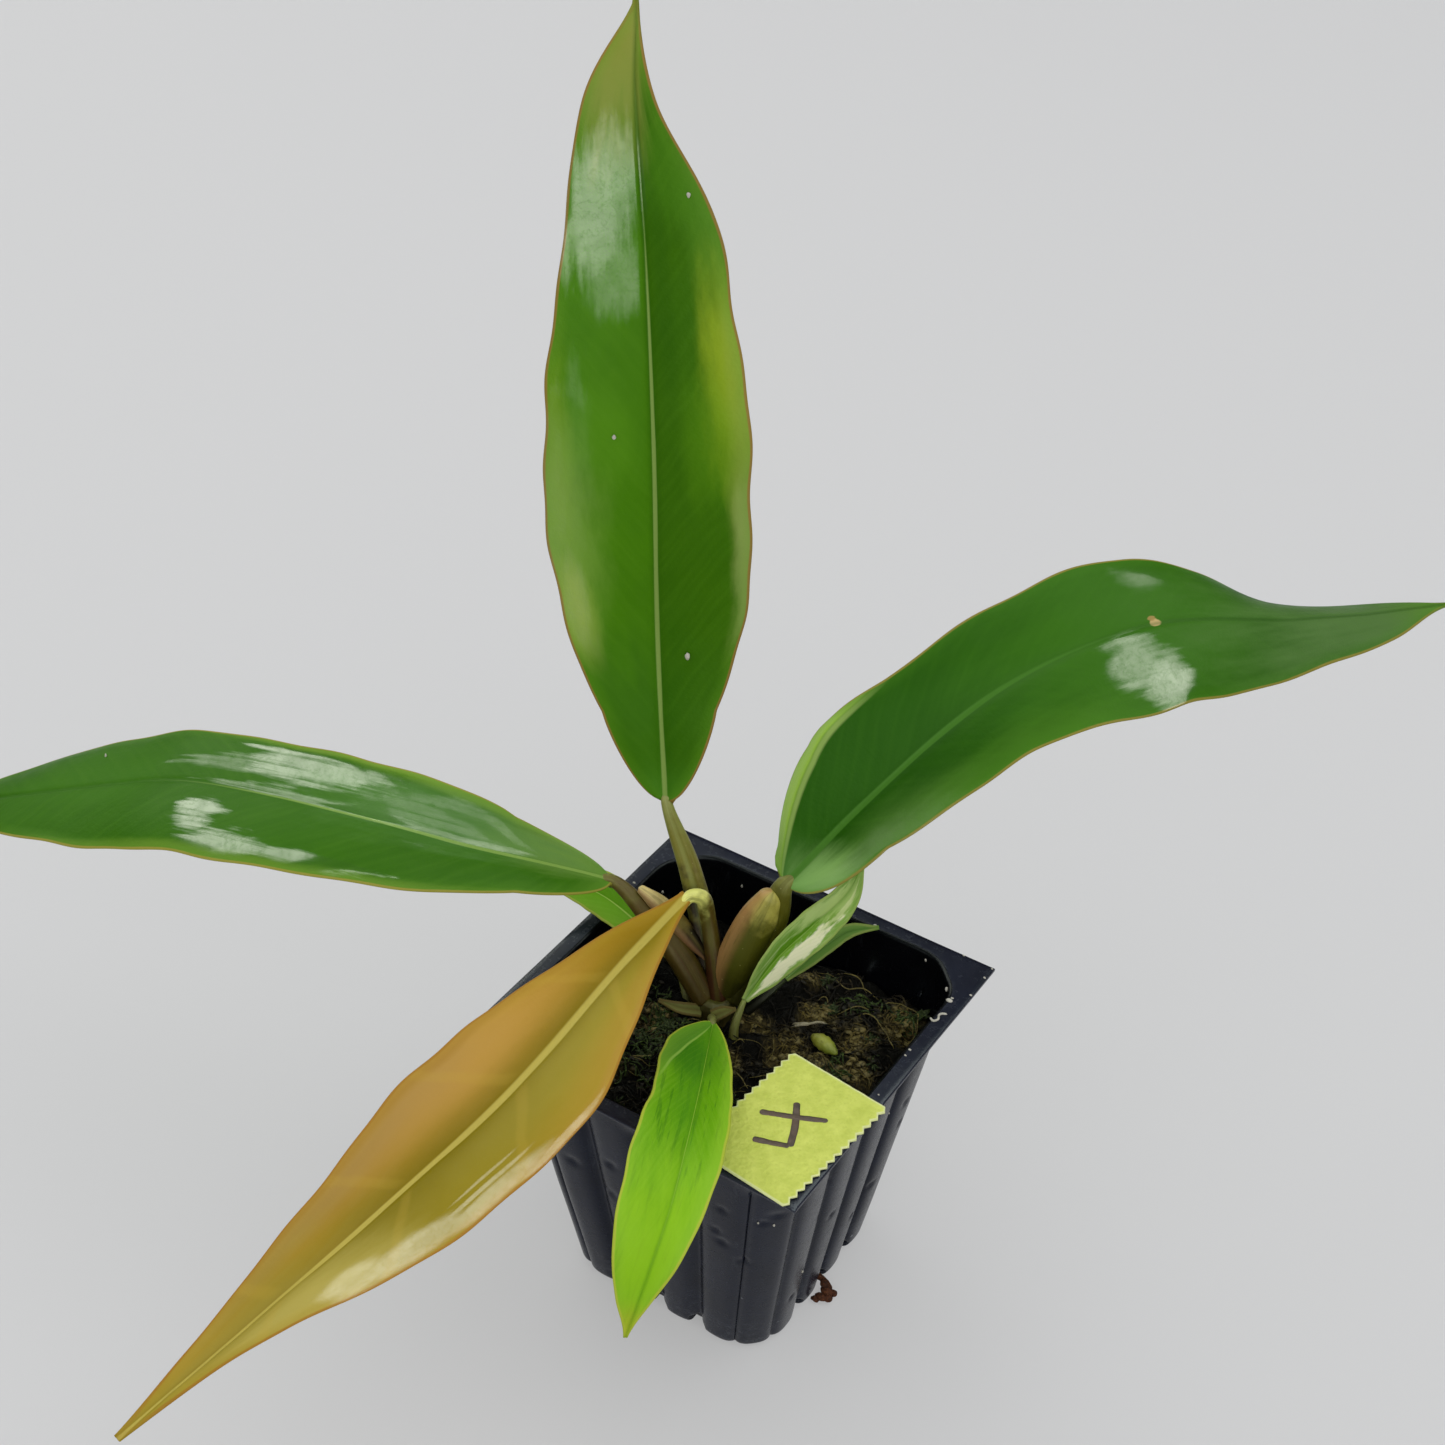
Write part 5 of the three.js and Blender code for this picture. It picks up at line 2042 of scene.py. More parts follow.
ROOT_LINES: tuple[Points, ...] = (
    ((-9, 5, 52), (2, 2, 40), (14, 0, 22), (20, -0.5, 7), (24.5, -0.3, 3.2), (30, -0.4, 2.2),
     (33, -2.4, 1.9)),
    ((-9, 5, 54), (-20, 8, 44), (-27, 14, 28), (-22, 18, 12)),
    ((-9, 5, 54), (-12, -8, 42), (-10, -20, 26), (-16, -22, 10)),
    ((-9, 5, 54), (-2, 17, 44), (8, 25, 30), (16, 22, 14)),
    ((-9, 5, 54), (6, -10, 44), (16, -22, 32), (14, -20, 16)),
)  # fmt: skip


@dataclass
class Roots:
    """The roots in the moss, one of which shows in a drain notch."""

    stock: Points = ((-8, 5.6, 46.4), (-8, 5.6, 52), (-8, 5.6, 58.6))
    stock_radii: Values = (2.8, 3.6, 4.0)
    radii: Values = (1.5, 1.3, 1.1, 0.8)
    bits: tuple[Values, ...] = (
        (30.4, -1.4, 2.2, 1.5), (31.8, -2.6, 2.0, 1.7), (32.8, -3.8, 1.5, 1.3),
        (31.2, -4.4, 1.5, 1.4), (30.2, -5.4, 1.1, 1.1), (33.2, -1.8, 1.3, 1.1),
    )  # fmt: skip

    def make(self) -> bpy.types.Object:
        """Builds the roots as one piece.

        Returns:
            The piece.
        """
        body = Body("root_skin")
        runs = [(self.stock, self.stock_radii), *((line, self.radii) for line in ROOT_LINES)]
        grain = Grain(23)
        for points, radii in runs:
            rings, _, _ = tube_rings(points, radii, (0.2, 0.9, 0.3), 44, 14, ridges=0.05)
            out = unit(rings - rings.mean(axis=1, keepdims=True))
            body.add_rings(rings + out * (0.14 * grain.at(rings / 2.2))[..., None])
        for k, (x, y, z, size) in enumerate(self.bits):
            add_lump(body, (x, y, z), (size, 0.8 * size, 0.7 * size), grain, 4.1 * k)
        finish = FibreFinish("root_bark", "#2c140a", "#5c3018", "#8a5430", 420.0)
        return settle(body.build([finish.material()]), "roots", "roots")


# The pot

# The outside, the inside and the rim, as lit and shaded copies of one plastic: the inside painted
# darker as shade, the rim painted lighter as the light it reflects.
POT_FINISHES = (
    PlasticFinish("pot_plastic", "#0c0d17", "#141828", "#7c8086", 0.15),
    PlasticFinish("pot_inside_painted_shade", "#040406", "#090a0e", "#50535a", 0.1),
    PlasticFinish("pot_rim_painted_light", "#1a1b26", "#242736", "#5c6068", 0.3),
)


@dataclass
class Pot:
    """The square fluted pot with its flat rim, drain notches and moulded dimples."""

    rim_side: float = 89.0
    height: float = 80.0
    opening: float = 80.0
    opening_corner: float = 9.0
    base: float = 57.0
    base_corner: float = 7.0
    wall: float = 1.1
    flange: float = 1.2
    flutes: int = 4
    depth: float = 2.1
    collar: float = 4.0
    foot: float = 1.8
    valley: float = 0.86
    notch_radius: float = 2.6
    notch_height: float = 1.4
    notch_sides: int = 20
    flute_points: int = 20
    rounding: int = 6
    lip: float = 0.8
    lip_steps: int = 6
    dimple_depth: float = 0.55
    facing: float = 20.0
    warp: float = 0.1
    rim_warp: float = 0.12
    warp_seed: int = 5
    # Where the inside has close rings, where it has wide ones, and how many of each.
    close_down_to: float = 56.0
    close_rings: int = 30
    wide_down_from: float = 48.0
    wide_rings: int = 6
    # Each: which side (0 is +X, 1 is +Y), place along it, height and size.
    dimples: tuple[tuple[int, float, float, float], ...] = (
        (3, -19.7, 46.7, 1.7), (3, -9.5, 41.1, 1.5), (3, -8.3, 53.6, 1.5), (3, 20.2, 49.7, 1.2),
        (3, 21.5, 45.9, 1.5), (3, 22.5, 59.4, 1.2), (3, 26.0, 40.1, 1.1), (3, 31.6, 58.3, 1.1),
        (3, 34.0, 61.0, 1.5), (3, -26.0, 60.0, 1.4), (0, -14.5, 54.4, 1.3), (0, -8.1, 36.9, 1.2),
        (0, 15.4, 23.8, 1.2), (0, 7.3, 20.3, 1.1), (0, -16.4, 45.0, 1.2), (0, 20.6, 50.9, 1.4),
        (0, 21.2, 42.7, 1.3), (0, -18.6, 15.7, 1.1), (0, 2.5, 62.0, 1.3), (1, -14.0, 52.0, 1.4),
        (1, 6.5, 38.0, 1.3), (1, 18.0, 60.0, 1.2), (1, -22.0, 24.0, 1.3), (2, 12.0, 49.0, 1.4),
        (2, -6.0, 33.0, 1.2), (2, -18.0, 58.0, 1.3), (2, 20.0, 21.0, 1.2),
    )  # fmt: skip

    def ring(self, z: float, inset: float) -> Array:
        """One ring of the wall: four lobes on each side and one across each corner.

        Args:
            z: height in mm.
            inset: how far the ring is moved inwards, in mm.

        Returns:
            The ring's points, anticlockwise from the -Y end of the +X side.
        """
        t = min(max(z / self.height, 0.0), 1.0)
        side = (self.base + (self.opening + 2 * self.wall - self.base) * t) / 2 - inset
        corner = self.base_corner + (self.opening_corner - self.base_corner) * t
        corner -= (2 - math.sqrt(2)) * inset
        depth = self.depth * float(smooth(self.height - self.collar - z, 0.0, 2 * self.collar))
        run = np.array([[side, -side + corner], [side, side - corner], [side - corner, side]])
        wall = self._lobes(run[0], run[1], self.flutes, depth)
        quarter = np.vstack([wall, self._lobes(run[1], run[2], 1, depth)])
        flat = np.vstack([quarter @ np.array([[c, s], [-s, c]]) for c, s in QUARTERS])
        near = [np.roll(flat, k, axis=0) for k in range(-self.rounding, self.rounding + 1)]
        flat = flat + (np.mean(near, axis=0) - flat) * (1.0 - depth / self.depth)
        return np.column_stack([flat, np.full(len(flat), z)])

    def _lobes(self, start: Array, end: Array, count: int, depth: float) -> Array:
        """Points along one straight stretch with its lobes, without the stretch's end.

        Args:
            start: where the stretch starts.
            end: where it ends.
            count: how many lobes it has.
            depth: how deep the grooves between them are, in mm.

        Returns:
            The points, as x and y.
        """
        along = end - start
        out = unit(np.array([along[1], -along[0]]))
        points = count * self.flute_points
        i = np.arange(points)
        phase = np.abs(2.0 * (i % self.flute_points) / self.flute_points - 1.0)
        share = np.minimum(phase / self.valley, 1.0)
        fall = depth * (1.0 - np.sqrt(np.maximum(1.0 - share**2.6, 0.0)))
        return start + along * (i / points)[:, None] - out * fall[:, None]

    def square(self, z: float, half: float) -> Array:
        """A square ring with a point on each corner.

        Args:
            z: its height in mm.
            half: half its side in mm.

        Returns:
            The ring's points.
        """
        ring = self.ring(z, 0.0)
        reach = np.abs(ring[:, :2]).max(axis=1)
        ring[:, :2] *= (half / reach)[:, None]
        return ring

    def _outer(self) -> list[Array]:
        """Rings of the outside from the foot to the underside of the rim.

        Returns:
            The rings, each as (point, 3).
        """
        rings = []
        for angle in np.linspace(0.0, np.pi / 2, 7):
            z = self.foot * (1.0 - math.cos(angle))
            rings.append(self.ring(z, self.foot * (1.0 - math.sin(angle))))
        for z in np.linspace(self.foot + 0.8, self.height - self.flange, 84):
            rings.append(self.ring(float(z), 0.0))
        return rings

    def _rim(self) -> list[Array]:
        """Rings of the flat rim, from its underside over its edge to the rounded lip.

        Returns:
            The rings, each as (point, 3).
        """
        low, top, half = self.height - self.flange, self.height, self.rim_side / 2
        steps = ((low, 1.6), (low, 0.35), (low + 0.25, 0), (top - 0.25, 0), (top, 0.3), (top, 1.4))
        rings = [self.square(z, half - inset) for z, inset in steps]
        edge = self.ring(top, -0.6)
        return [*rings, 0.5 * (edge + rings[-1]), edge]

    def _inner(self) -> list[Array]:
        """Rings of the rounded lip and the inside, down to the floor.

        Returns:
            The rings, each as (point, 3).
        """
        rings = []
        for angle in np.linspace(0.0, np.pi / 2, self.lip_steps):
            z = self.height - self.lip * (1.0 - math.cos(angle))
            rings.append(self.ring(z, self.wall - self.lip * (1.0 - math.sin(angle))))
        close = np.linspace(self.height - 2.0, self.close_down_to, self.close_rings)
        wide = np.linspace(self.wide_down_from, self.wall + 0.6 * self.foot, self.wide_rings)
        rings += [self.ring(float(z), self.wall) for z in (*close, *wide)]
        rings.append(self.ring(self.wall, self.wall + 0.5 * self.foot))
        return rings

    def make(self) -> bpy.types.Object:
        """Builds the pot as one closed shell and cuts its notches.

        Returns:
            The piece.
        """
        outer, rim, inner = self._outer(), self._rim(), self._inner()
        rings = np.array([*outer, *rim, *inner])
        self._press_dimples(rings, len(outer))
        self._warp(rings)
        sides = rings.shape[1]
        body = Body("pot_shell")
        body.add_rings(rings)
        # the rim takes the plastic painted lighter as light, the inside the plastic painted darker as
        # shade
        body.kinds[0][len(outer) * sides :] = 2
        body.kinds[0][(len(outer) + len(rim)) * sides :] = 1
        obj = body.build([finish.material() for finish in POT_FINISHES])
        self._cut_notches(obj)
        return settle(obj, "pot", "pot")

    def _press_dimples(self, rings: Array, outside: int) -> None:
        """Presses the small round marks into the walls.

        Args:
            rings: the shell's rings, which are changed.
            outside: how many of them lie on the outside.
        """
        wall = rings[:outside]
        for quarter, along, z, size in self.dimples:
            c, s = QUARTERS[quarter]
            out, run = np.array([c, s, 0.0]), np.array([-s, c, 0.0])
            near = (wall @ run - along) ** 2 + (1.3 * (wall[..., 2] - z)) ** 2
            press = self.dimple_depth * np.exp(-near / size**2)
            wall -= out * np.where(wall @ out > self.facing, press, 0.0)[..., None]

    def _warp(self, rings: Array) -> None:
        """Gives the thin plastic a little unevenness.

        Args:
            rings: the shell's rings, which are changed.
        """
        grain = Grain(self.warp_seed)
        high = rings[..., 2] > self.height - 3
        rings[..., 2] += np.where(high, self.rim_warp * grain.at(rings / 24.0), 0.0)
        radial = rings[..., :2] / np.linalg.norm(rings[..., :2], axis=-1, keepdims=True)
        rings[..., :2] += radial * (self.warp * grain.at(rings / 15.0 + 9.0))[..., None]

    def _cut_notches(self, obj: bpy.types.Object) -> None:
        """Cuts three arched drain notches along the foot of each side.

        Args:
            obj: the pot.
        """
        cutters = Body("notch_cutters")
        pitch = (self.base - 2 * self.base_corner) / self.flutes
        angle = around(self.notch_sides)
        for c, s in QUARTERS:
            for groove in range(1, self.flutes):
                offset = (groove - self.flutes / 2) * pitch
                rings = []
                for x in (self.base / 2 - 2 * self.foot, self.base / 2 + 2 * self.foot):
                    y = offset + self.notch_radius * np.cos(angle)
                    z = self.notch_height + self.notch_radius * np.sin(angle)
                    rings.append(np.column_stack([x * c - y * s, x * s + y * c, z]))
                cutters.add_rings(np.array(rings))
        tool = cutters.build([])
        cut = obj.modifiers.new("notches", "BOOLEAN")
        cut.operation, cut.object, cut.solver = "DIFFERENCE", tool, "EXACT"
        depsgraph = bpy.context.evaluated_depsgraph_get()
        cut_mesh = bpy.data.meshes.new_from_object(obj.evaluated_get(depsgraph))
        obj.modifiers.clear()
        old, obj.data = obj.data, cut_mesh
        obj.data.name = obj.name
        bpy.data.meshes.remove(old)
        bpy.data.objects.remove(tool)


# The moss

BROWN_CLUMPS: Points = (
    (28, 32, 3.0), (30, 25, 3.5), (26, 19, 4.5), (31, 11, 4.0), (20, 18, 5.0), (13, 15, 4.5),
    (17, 7, 4.5), (7, 9, 4.0), (11, -3, 5.0), (24, -1, 5.0), (4, -14, 5.0), (-6, -26, 5.0),
    (-24, -24, 5.0), (30, -12, 4.0), (8, 28, 5.0), (-10, 28, 5.0), (-28, 22, 5.0),
)  # fmt: skip
GREEN_CLUMPS: Points = (
    (-14, -6, 4.0), (-17, -3, 3.0), (-19, -5, 3.0), (-18, -4, 2.5), (-12, -12, 5.0), (-22, -12, 5.0),
    (-18, -20, 5.0), (-27, -25, 4.0), (-8, -20, 4.0), (20, 26, 4.0), (32, 30, 3.0), (25, 5, 3.0),
    (-28, 6, 5.0),
)  # fmt: skip
# Where light is painted on the moss: x, y and radius in mm.
LIT_CLUMPS: Points = (
    (0.4, 8.4, 4.5), (12.6, 18.6, 4.5), (30.4, 27, 5.5), (29, 7.4, 4), (12.3, 4.4, 4.5),
    (-18.6, -4.6, 4.5), (24.6, 15.4, 4), (21.4, 5, 3), (2.6, -6.4, 4), (-20, -24, 5),
    (4, 28, 3), (-26, 20, 5),
)  # fmt: skip
STRANDS: tuple[tuple[Values, ...], ...] = (
    ((8.8, 10.8), (11, 12.4), (13, 12.9), (16.9, 16)),
    ((8.6, 12.4), (11.4, 13), (14.4, 13.4)),
)  # fmt: skip
LOOPS: tuple[tuple[Values, ...], ...] = (
    ((23.3, 26.9), (24.6, 30.2), (28.3, 32.4), (32.4, 30.8), (33.9, 26.5), (33.6, 23)),
    ((9, 34.2), (12.1, 33.2), (15.3, 33), (18.2, 31.4)),
    ((9.2, 31.3), (13.8, 30.1), (17.1, 31.7), (22, 30.4)),
    ((9.2, 23.7), (10.3, 25.6), (12.3, 24.1)),
    ((1.4, -1.8), (4.1, -0.4)),
    ((5.8, -7.3), (9.3, -9.8), (12, -11.4)),
    ((-16.9, -18), (-13, -15.4), (-11.6, -14.3)),
    ((20, 20), (24, 22.6), (29, 21.4), (33, 18)),
    ((16, 21), (20.4, 24.6), (26, 25)),
)  # fmt: skip


# near black: the moss's own dark brown, darkened further as painted shade under the leaves
MOSS_BED = FibreFinish(
    "moss_bed", "#010100", "#050402", "#100d05", 110.0, 2.8, 0.85, 0.0012, 0.4, LIT_CLUMPS,
    "#4c4222", 0.06,
)
DARK_FIBRES = FibreFinish(
    "dark_fibres", "#020201", "#080603", "#1a150a", 180.0, wet=0.4, clumps=LIT_CLUMPS,
    glow="#4c4222", specular=0.08,
)
BROWN_FIBRES = FibreFinish(
    "brown_fibres", "#0c0904", "#241c0c", "#4c4220", 130.0, wet=0.4, clumps=LIT_CLUMPS,
    glow="#70622e", specular=0.1,
)
STRAW_FIBRES = FibreFinish("straw_fibres", "#4c4420", "#7c7038", "#a89c64", 240.0, wet=0.4)
GREEN_FIBRES = FibreFinish("green_fibres", "#101a04", "#344814", "#748c3c", 200.0, wet=0.4)
GREEN_TUFTS = FibreFinish("green_tufts", "#141e06", "#2c3c12", "#6c7e44", 240.0, wet=0.3)
MOSS_FLAKES = FibreFinish(
    "moss_flakes", "#060502", "#16120a", "#3c341c", 120.0, wet=0.4, clumps=LIT_CLUMPS,
    glow="#7c7040", specular=0.1,
)
PALE_ROOTS = FibreFinish("pale_roots", "#8c8468", "#b4ac8c", "#d8d4c0", 300.0, wet=0.3)

FIBRE_TAPER = (0.35, 0.8, 1, 1.1, 1, 1.05, 0.9, 0.6, 0.15)
# Each: x, y and how tall it is.
TUFTS: Points = (
    (-14, -6, 3.4), (-17, -3, 3.0), (-12, -10, 2.8), (-18, -9, 2.8), (-15, -14, 2.8),
    (-10, -31, 3.0), (-6, -33, 2.6), (-19, 1, 2.6), (-2, -30, 2.4), (22, 0, 2.6), (25, 3, 2.2),
    (14, 22, 2.2), (20, 26, 2.4), (27, 18, 2.0), (5, -26, 2.2), (29, 28, 2.4), (-24, -26, 2.4),
    (-28, -20, 2.2), (16, -8, 2.0), (10, -16, 2.0), (31, 12, 2.0), (8, 30, 2.2), (-30, 28, 2.4),
    (-20, 32, 2.2), (33, 32, 2.0),
)  # fmt: skip
TUFT_TAPER = (0.3, 0.36, 0.36, 0.3, 0.2, 0.05)
# Each swell of the bed: its height in mm, its waves along X and Y, and its phase.
SWELLS = ((0.65, 0.31, 0.27, 0.4), (0.65, 0.31, -0.27, 1.2), (0.8, 0.53, -0.53, 0.0))


@dataclass(frozen=True)
class FibreKind:
    """One kind of fibre on the moss.

    length and radius give the least and the most in mm, and lift how far a fibre may arch up.
    The clumps give x, y and radius, and fibres without clumps lie everywhere.
    """

    name: str
    count: int
    length: tuple[float, float]
    radius: tuple[float, float]
    lift: float
    seed: int
    finish: FibreFinish
    clumps: Points = ()


FIBRE_KINDS = (
    FibreKind("moss_dark_fibres", 620, (3, 9), (0.1, 0.26), 1.2, 51, DARK_FIBRES),
    FibreKind("moss_straw_fibres", 60, (3, 9), (0.06, 0.12), 1.6, 52, STRAW_FIBRES),
    FibreKind("moss_green_fibres", 420, (2, 5), (0.12, 0.26), 1.5, 53, GREEN_FIBRES, GREEN_CLUMPS),
    FibreKind("moss_brown_fibres", 900, (1.6, 5.5), (0.06, 0.2), 1.0, 54, BROWN_FIBRES, BROWN_CLUMPS),
)


@dataclass
class Moss:
    """The bed of damp long-fibre moss and the fibres that lie on it."""

    pot: Pot
    level: float = 67.0
    edge: float = 63.0
    clear: float = 0.3
    half: float = 38.0
    fibre_half: float = 34.4
    flake_half: float = 34.0
    corner: float = 61.0
    # How much a fibre bends as a whole, and how much it wanders at each step.
    bend: float = 0.09
    wander: float = 0.14
    flakes: int = 900
    flake_seed: int = 67
    tuft_leaves: int = 26
    tuft_seed: int = 61
    seed: int = 41

    def __post_init__(self) -> None:
        """Prepares the grain of the surface."""
        self.grain = Grain(self.seed)

    def height(self, x: Array, y: Array, rim: Array) -> Array:
        """The height of the surface.

        Args:
            x: places along X, in mm.
            y: places along Y, in mm.
            rim: how near the wall each is, from 0 in the middle to 1.

        Returns:
            The heights in mm.
        """
        z = self.level - (self.level - self.edge) * rim**4
        z = z + 2.6 * smooth(x + y, 10.0, 60.0)
        for high, along_x, along_y, phase in SWELLS:
            z += high * np.sin(along_x * x + along_y * y + phase)
        lumps = self.grain.flat(x / 4.2, y / 4.2) + self.grain.flat(x / 1.9, y / 1.9, 4) * 0.9
        lumps += self.grain.flat(x / 0.95, y / 0.95, 9) * 0.35
        return z + lumps * (1.0 - 0.7 * rim**6)

    def top(self, flat: Array) -> Array:
        """The height of the surface at places that each have x and y in the last axis."""
        rim = np.clip(np.abs(flat).max(axis=-1) / self.half, 0.0, 1.0)
        return self.height(flat[..., 0], flat[..., 1], rim)

    def make(self) -> None:
        """Builds the bed and the fibres on it."""
        self._bed()
        for kind in FIBRE_KINDS:
            self._fibres(kind)
        self._strands("moss_pale_roots", STRANDS, 0.34, PALE_ROOTS)
        self._strands("moss_loops", LOOPS, 0.15, STRAW_FIBRES)
        self._flakes()
        self._tufts()

    def _bed(self) -> bpy.types.Object:
        """The closed body of the moss.

        Returns:
            The piece.
        """
        pot = self.pot
        inset = pot.wall + self.clear
        sides = [
            pot.ring(inset, inset + 0.5 * pot.foot),
            pot.ring(inset + 0.6 * pot.foot, inset),
            pot.ring(pot.height / 2, inset),
            pot.ring(self.edge - 3, inset),
            pot.ring(self.edge - 0.6, inset),
        ]
        edge = pot.ring(self.edge, inset)
        tops = []
        for share in np.linspace(1.0, 0.0, 74)[:-1]:
            flat = edge[:, :2] * share * (0.75 + 0.25 * share)
            z = self.height(flat[:, 0], flat[:, 1], np.full(len(flat), share))
            tops.append(np.column_stack([flat, z]))
        body = Body("moss_bed")
        body.add_rings(np.array([*sides, *tops]))
        return settle(body.build([MOSS_BED.material()]), "moss", "moss")

    def _lines(self, rng: np.random.Generator, kind: FibreKind) -> Array:
        """Middle lines of fibres that lie on the moss.

        Args:
            rng: the random draws.
            kind: the kind of fibre.

        Returns:
            The lines, as (fibre, point, 3).
        """
        count, clumps = kind.count, kind.clumps
        steps, half = len(FIBRE_TAPER), self.fibre_half
        start = rng.uniform(-half, half, (count, 2))
        if clumps:
            places = np.array(clumps)[rng.integers(0, len(clumps), count)]
            start = places[:, :2] + rng.normal(0, 0.6, (count, 2)) * places[:, 2:]
        heading = rng.uniform(0, 2 * np.pi, count)
        bend = rng.normal(0, self.bend, count)
        step = rng.uniform(*kind.length, count) / (steps - 1)
        at, places = start.copy(), []
        for _ in range(steps):
            places.append(at.copy())
            heading = heading + bend + rng.normal(0, self.wander, count)
            at = at + step[:, None] * np.stack([np.cos(heading), np.sin(heading)], axis=-1)
            at = np.clip(at, -half, half)
            over = np.abs(at).sum(axis=1, keepdims=True) - self.corner
            at = at - np.sign(at) * np.maximum(over, 0.0) / 2
        flat = np.stack(places, axis=1)
        z = self.top(flat)
        arch = np.sin(np.pi * np.linspace(0, 1, steps))
        arch = arch * rng.uniform(-0.3, kind.lift, count)[:, None]
        z = np.maximum.reduce([z, np.roll(z, 1, axis=1), np.roll(z, -1, axis=1)]) * 0.5 + z * 0.5
        return np.dstack([flat, z + 0.15 + arch])

    def _fibres(self, kind: FibreKind) -> bpy.types.Object:
        """Many fibres of one kind as one piece.

        Args:
            kind: the kind of fibre.

        Returns:
            The piece.
        """
        rng = np.random.default_rng(kind.seed)
        lines = self._lines(rng, kind)
        radii = rng.uniform(*kind.radius, kind.count)[:, None] * np.array(FIBRE_TAPER)
        body = Body(kind.name)
        add_fibres(body, lines, radii, 5)
        return settle(body.build([kind.finish.material()]), "moss")

    def _strands(
        self, name: str, lines: tuple[tuple[Values, ...], ...], radius: float, finish: FibreFinish
    ) -> bpy.types.Object:
        """Single strands that lie on the moss, as one piece.

        Args:
            name: the piece's name.
            lines: the places that each strand lies on, each with x and y.
            radius: their radius in mm.
            finish: their finish.

        Returns:
            The piece.
        """
        body = Body(name)
        t = np.linspace(0.0, 1.0, 24)
        for line in lines:
            flat = Curve(tuple((x, y, 0.0) for x, y in line)).at(t)
            flat[:, :2] += 0.3 * self.grain.at(flat / 2.1)[:, None]
            z = np.convolve(np.pad(self.top(flat[:, :2]), 2, "edge"), np.full(5, 0.2), "valid")
            flat[:, 2] = z + (0.5 + 0.8 * np.sin(np.pi * t))
            radii = radius * np.sqrt(np.clip(4.0 * t * (1.0 - t), 0.06, 1.0))
            add_fibres(body, flat[None], radii[None], 7)
        return settle(body.build([finish.material()]), "moss")

    def _flakes(self) -> bpy.types.Object:
        """Small crumpled bits of moss and bark in the clumps.

        Returns:
            The piece.
        """
        rng = np.random.default_rng(self.flake_seed)
        body = Body("moss_flakes")
        places = np.array(BROWN_CLUMPS + LIT_CLUMPS + GREEN_CLUMPS)
        half = self.flake_half
        for k in range(self.flakes):
            place = places[rng.integers(0, len(places))]
            x, y = np.clip(place[:2] + rng.normal(0, 0.55, 2) * place[2], -half, half)
            over = max(abs(x) + abs(y) - self.corner, 0.0) / 2
            x, y = x - math.copysign(over, x), y - math.copysign(over, y)
            size = rng.uniform(0.3, 1.2)
            z = float(self.top(np.array([[x, y]]))[0]) + 0.2 * size
            radii = (size, size * rng.uniform(0.4, 1.0), size * rng.uniform(0.3, 0.7))
            add_lump(body, (x, y, z), radii, self.grain, 1.7 * k)
        return settle(body.build([MOSS_FLAKES.material()]), "moss")

    def _tufts(self) -> bpy.types.Object:
        """Small green heads of moss, each of short curved leaves.

        Returns:
            The piece.
        """
        rng = np.random.default_rng(self.tuft_seed)
        body = Body("moss_tufts")
        lines, radii = [], []
        s = np.linspace(0, 1, len(TUFT_TAPER))[:, None]
        for x, y, size in TUFTS:
            for _ in range(self.tuft_leaves):
                turn, rise = rng.uniform(0, 2 * np.pi), rng.uniform(0.2, 1.2)
                out = np.array([math.cos(turn), math.sin(turn)]) * math.cos(rise)
                foot = np.array([x, y]) + rng.normal(0, 0.7, 2)
                flat = foot + out * s * size * rng.uniform(0.7, 1.3)
                z = self.top(foot[None])[0] - 0.3 + size * math.sin(rise) * (s - 0.45 * s**2)
                lines.append(np.column_stack([flat, z]))
                radii.append(np.array(TUFT_TAPER) * rng.uniform(0.7, 1.2))
        add_fibres(body, np.array(lines), np.array(radii), 5)
        return settle(body.build([GREEN_TUFTS.material()]), "moss")


# A direction that no fibre follows, to find its sideways one.
ASKEW = (0.11, 0.17, 0.98)


def add_fibres(body: Body, lines: Array, radii: Array, sides: int) -> None:
    """Adds closed tapered fibres to a body.

    Args:
        body: what they are added to.
        lines: middle lines, as (fibre, point, 3).
        radii: radii at those points.
        sides: points round a fibre.
    """
    along = unit(np.gradient(lines, axis=1))
    across = unit(np.cross(along, ASKEW))
    face = np.cross(across, along)
    angle = around(sides)
    c, s = np.cos(angle), np.sin(angle)
    for line, r, u, v in zip(lines, radii, across, face):
        round_it = s[:, None] * v[:, None] - c[:, None] * u[:, None]
        body.add_rings(line[:, None] + r[:, None, None] * round_it)


@dataclass
class Bud:
    """A plump sprout that lies on the moss."""

    length: float = 8.4
    radius: float = 1.9
    at: Point = (19.8, 9.0, 70.0)
    turn: float = -14.0

    def make(self) -> bpy.types.Object:
        """Builds the sprout with its folded scales.

        Returns:
            The piece.
        """
        t = np.linspace(0.0, 1.0, 44)
        sides = 36
        angle = around(sides)
        radius = self.radius * np.sin(np.pi * t**0.92) ** 0.62
        scales = 1.0 + 0.05 * np.sin(9 * t * np.pi)[:, None] * np.sin(angle * 2)[None, :]
        r = np.maximum(radius, 0.05)[:, None] * scales
        x = np.broadcast_to(((t - 0.5) * self.length)[:, None], r.shape)
        y = r * np.cos(angle)
        z = r * np.sin(angle) * 0.92 + 0.35 * np.sin(np.pi * t)[:, None]
        x, y = turned(x, y, self.turn)
        body = Body("bud_skin")
        rings = np.stack([x, y, z], axis=-1) + np.array(self.at)
        body.add_rings(rings, tube_maps(t, sides, self.length))
        finish = StalkFinish("bud_skin", "#7c7c2c", "#949a38", "#7c8a2c", "#4c4c1c", "#9ca048", 0.35)
        return settle(body.build([finish.material()]), "bud", "bud")


# The label


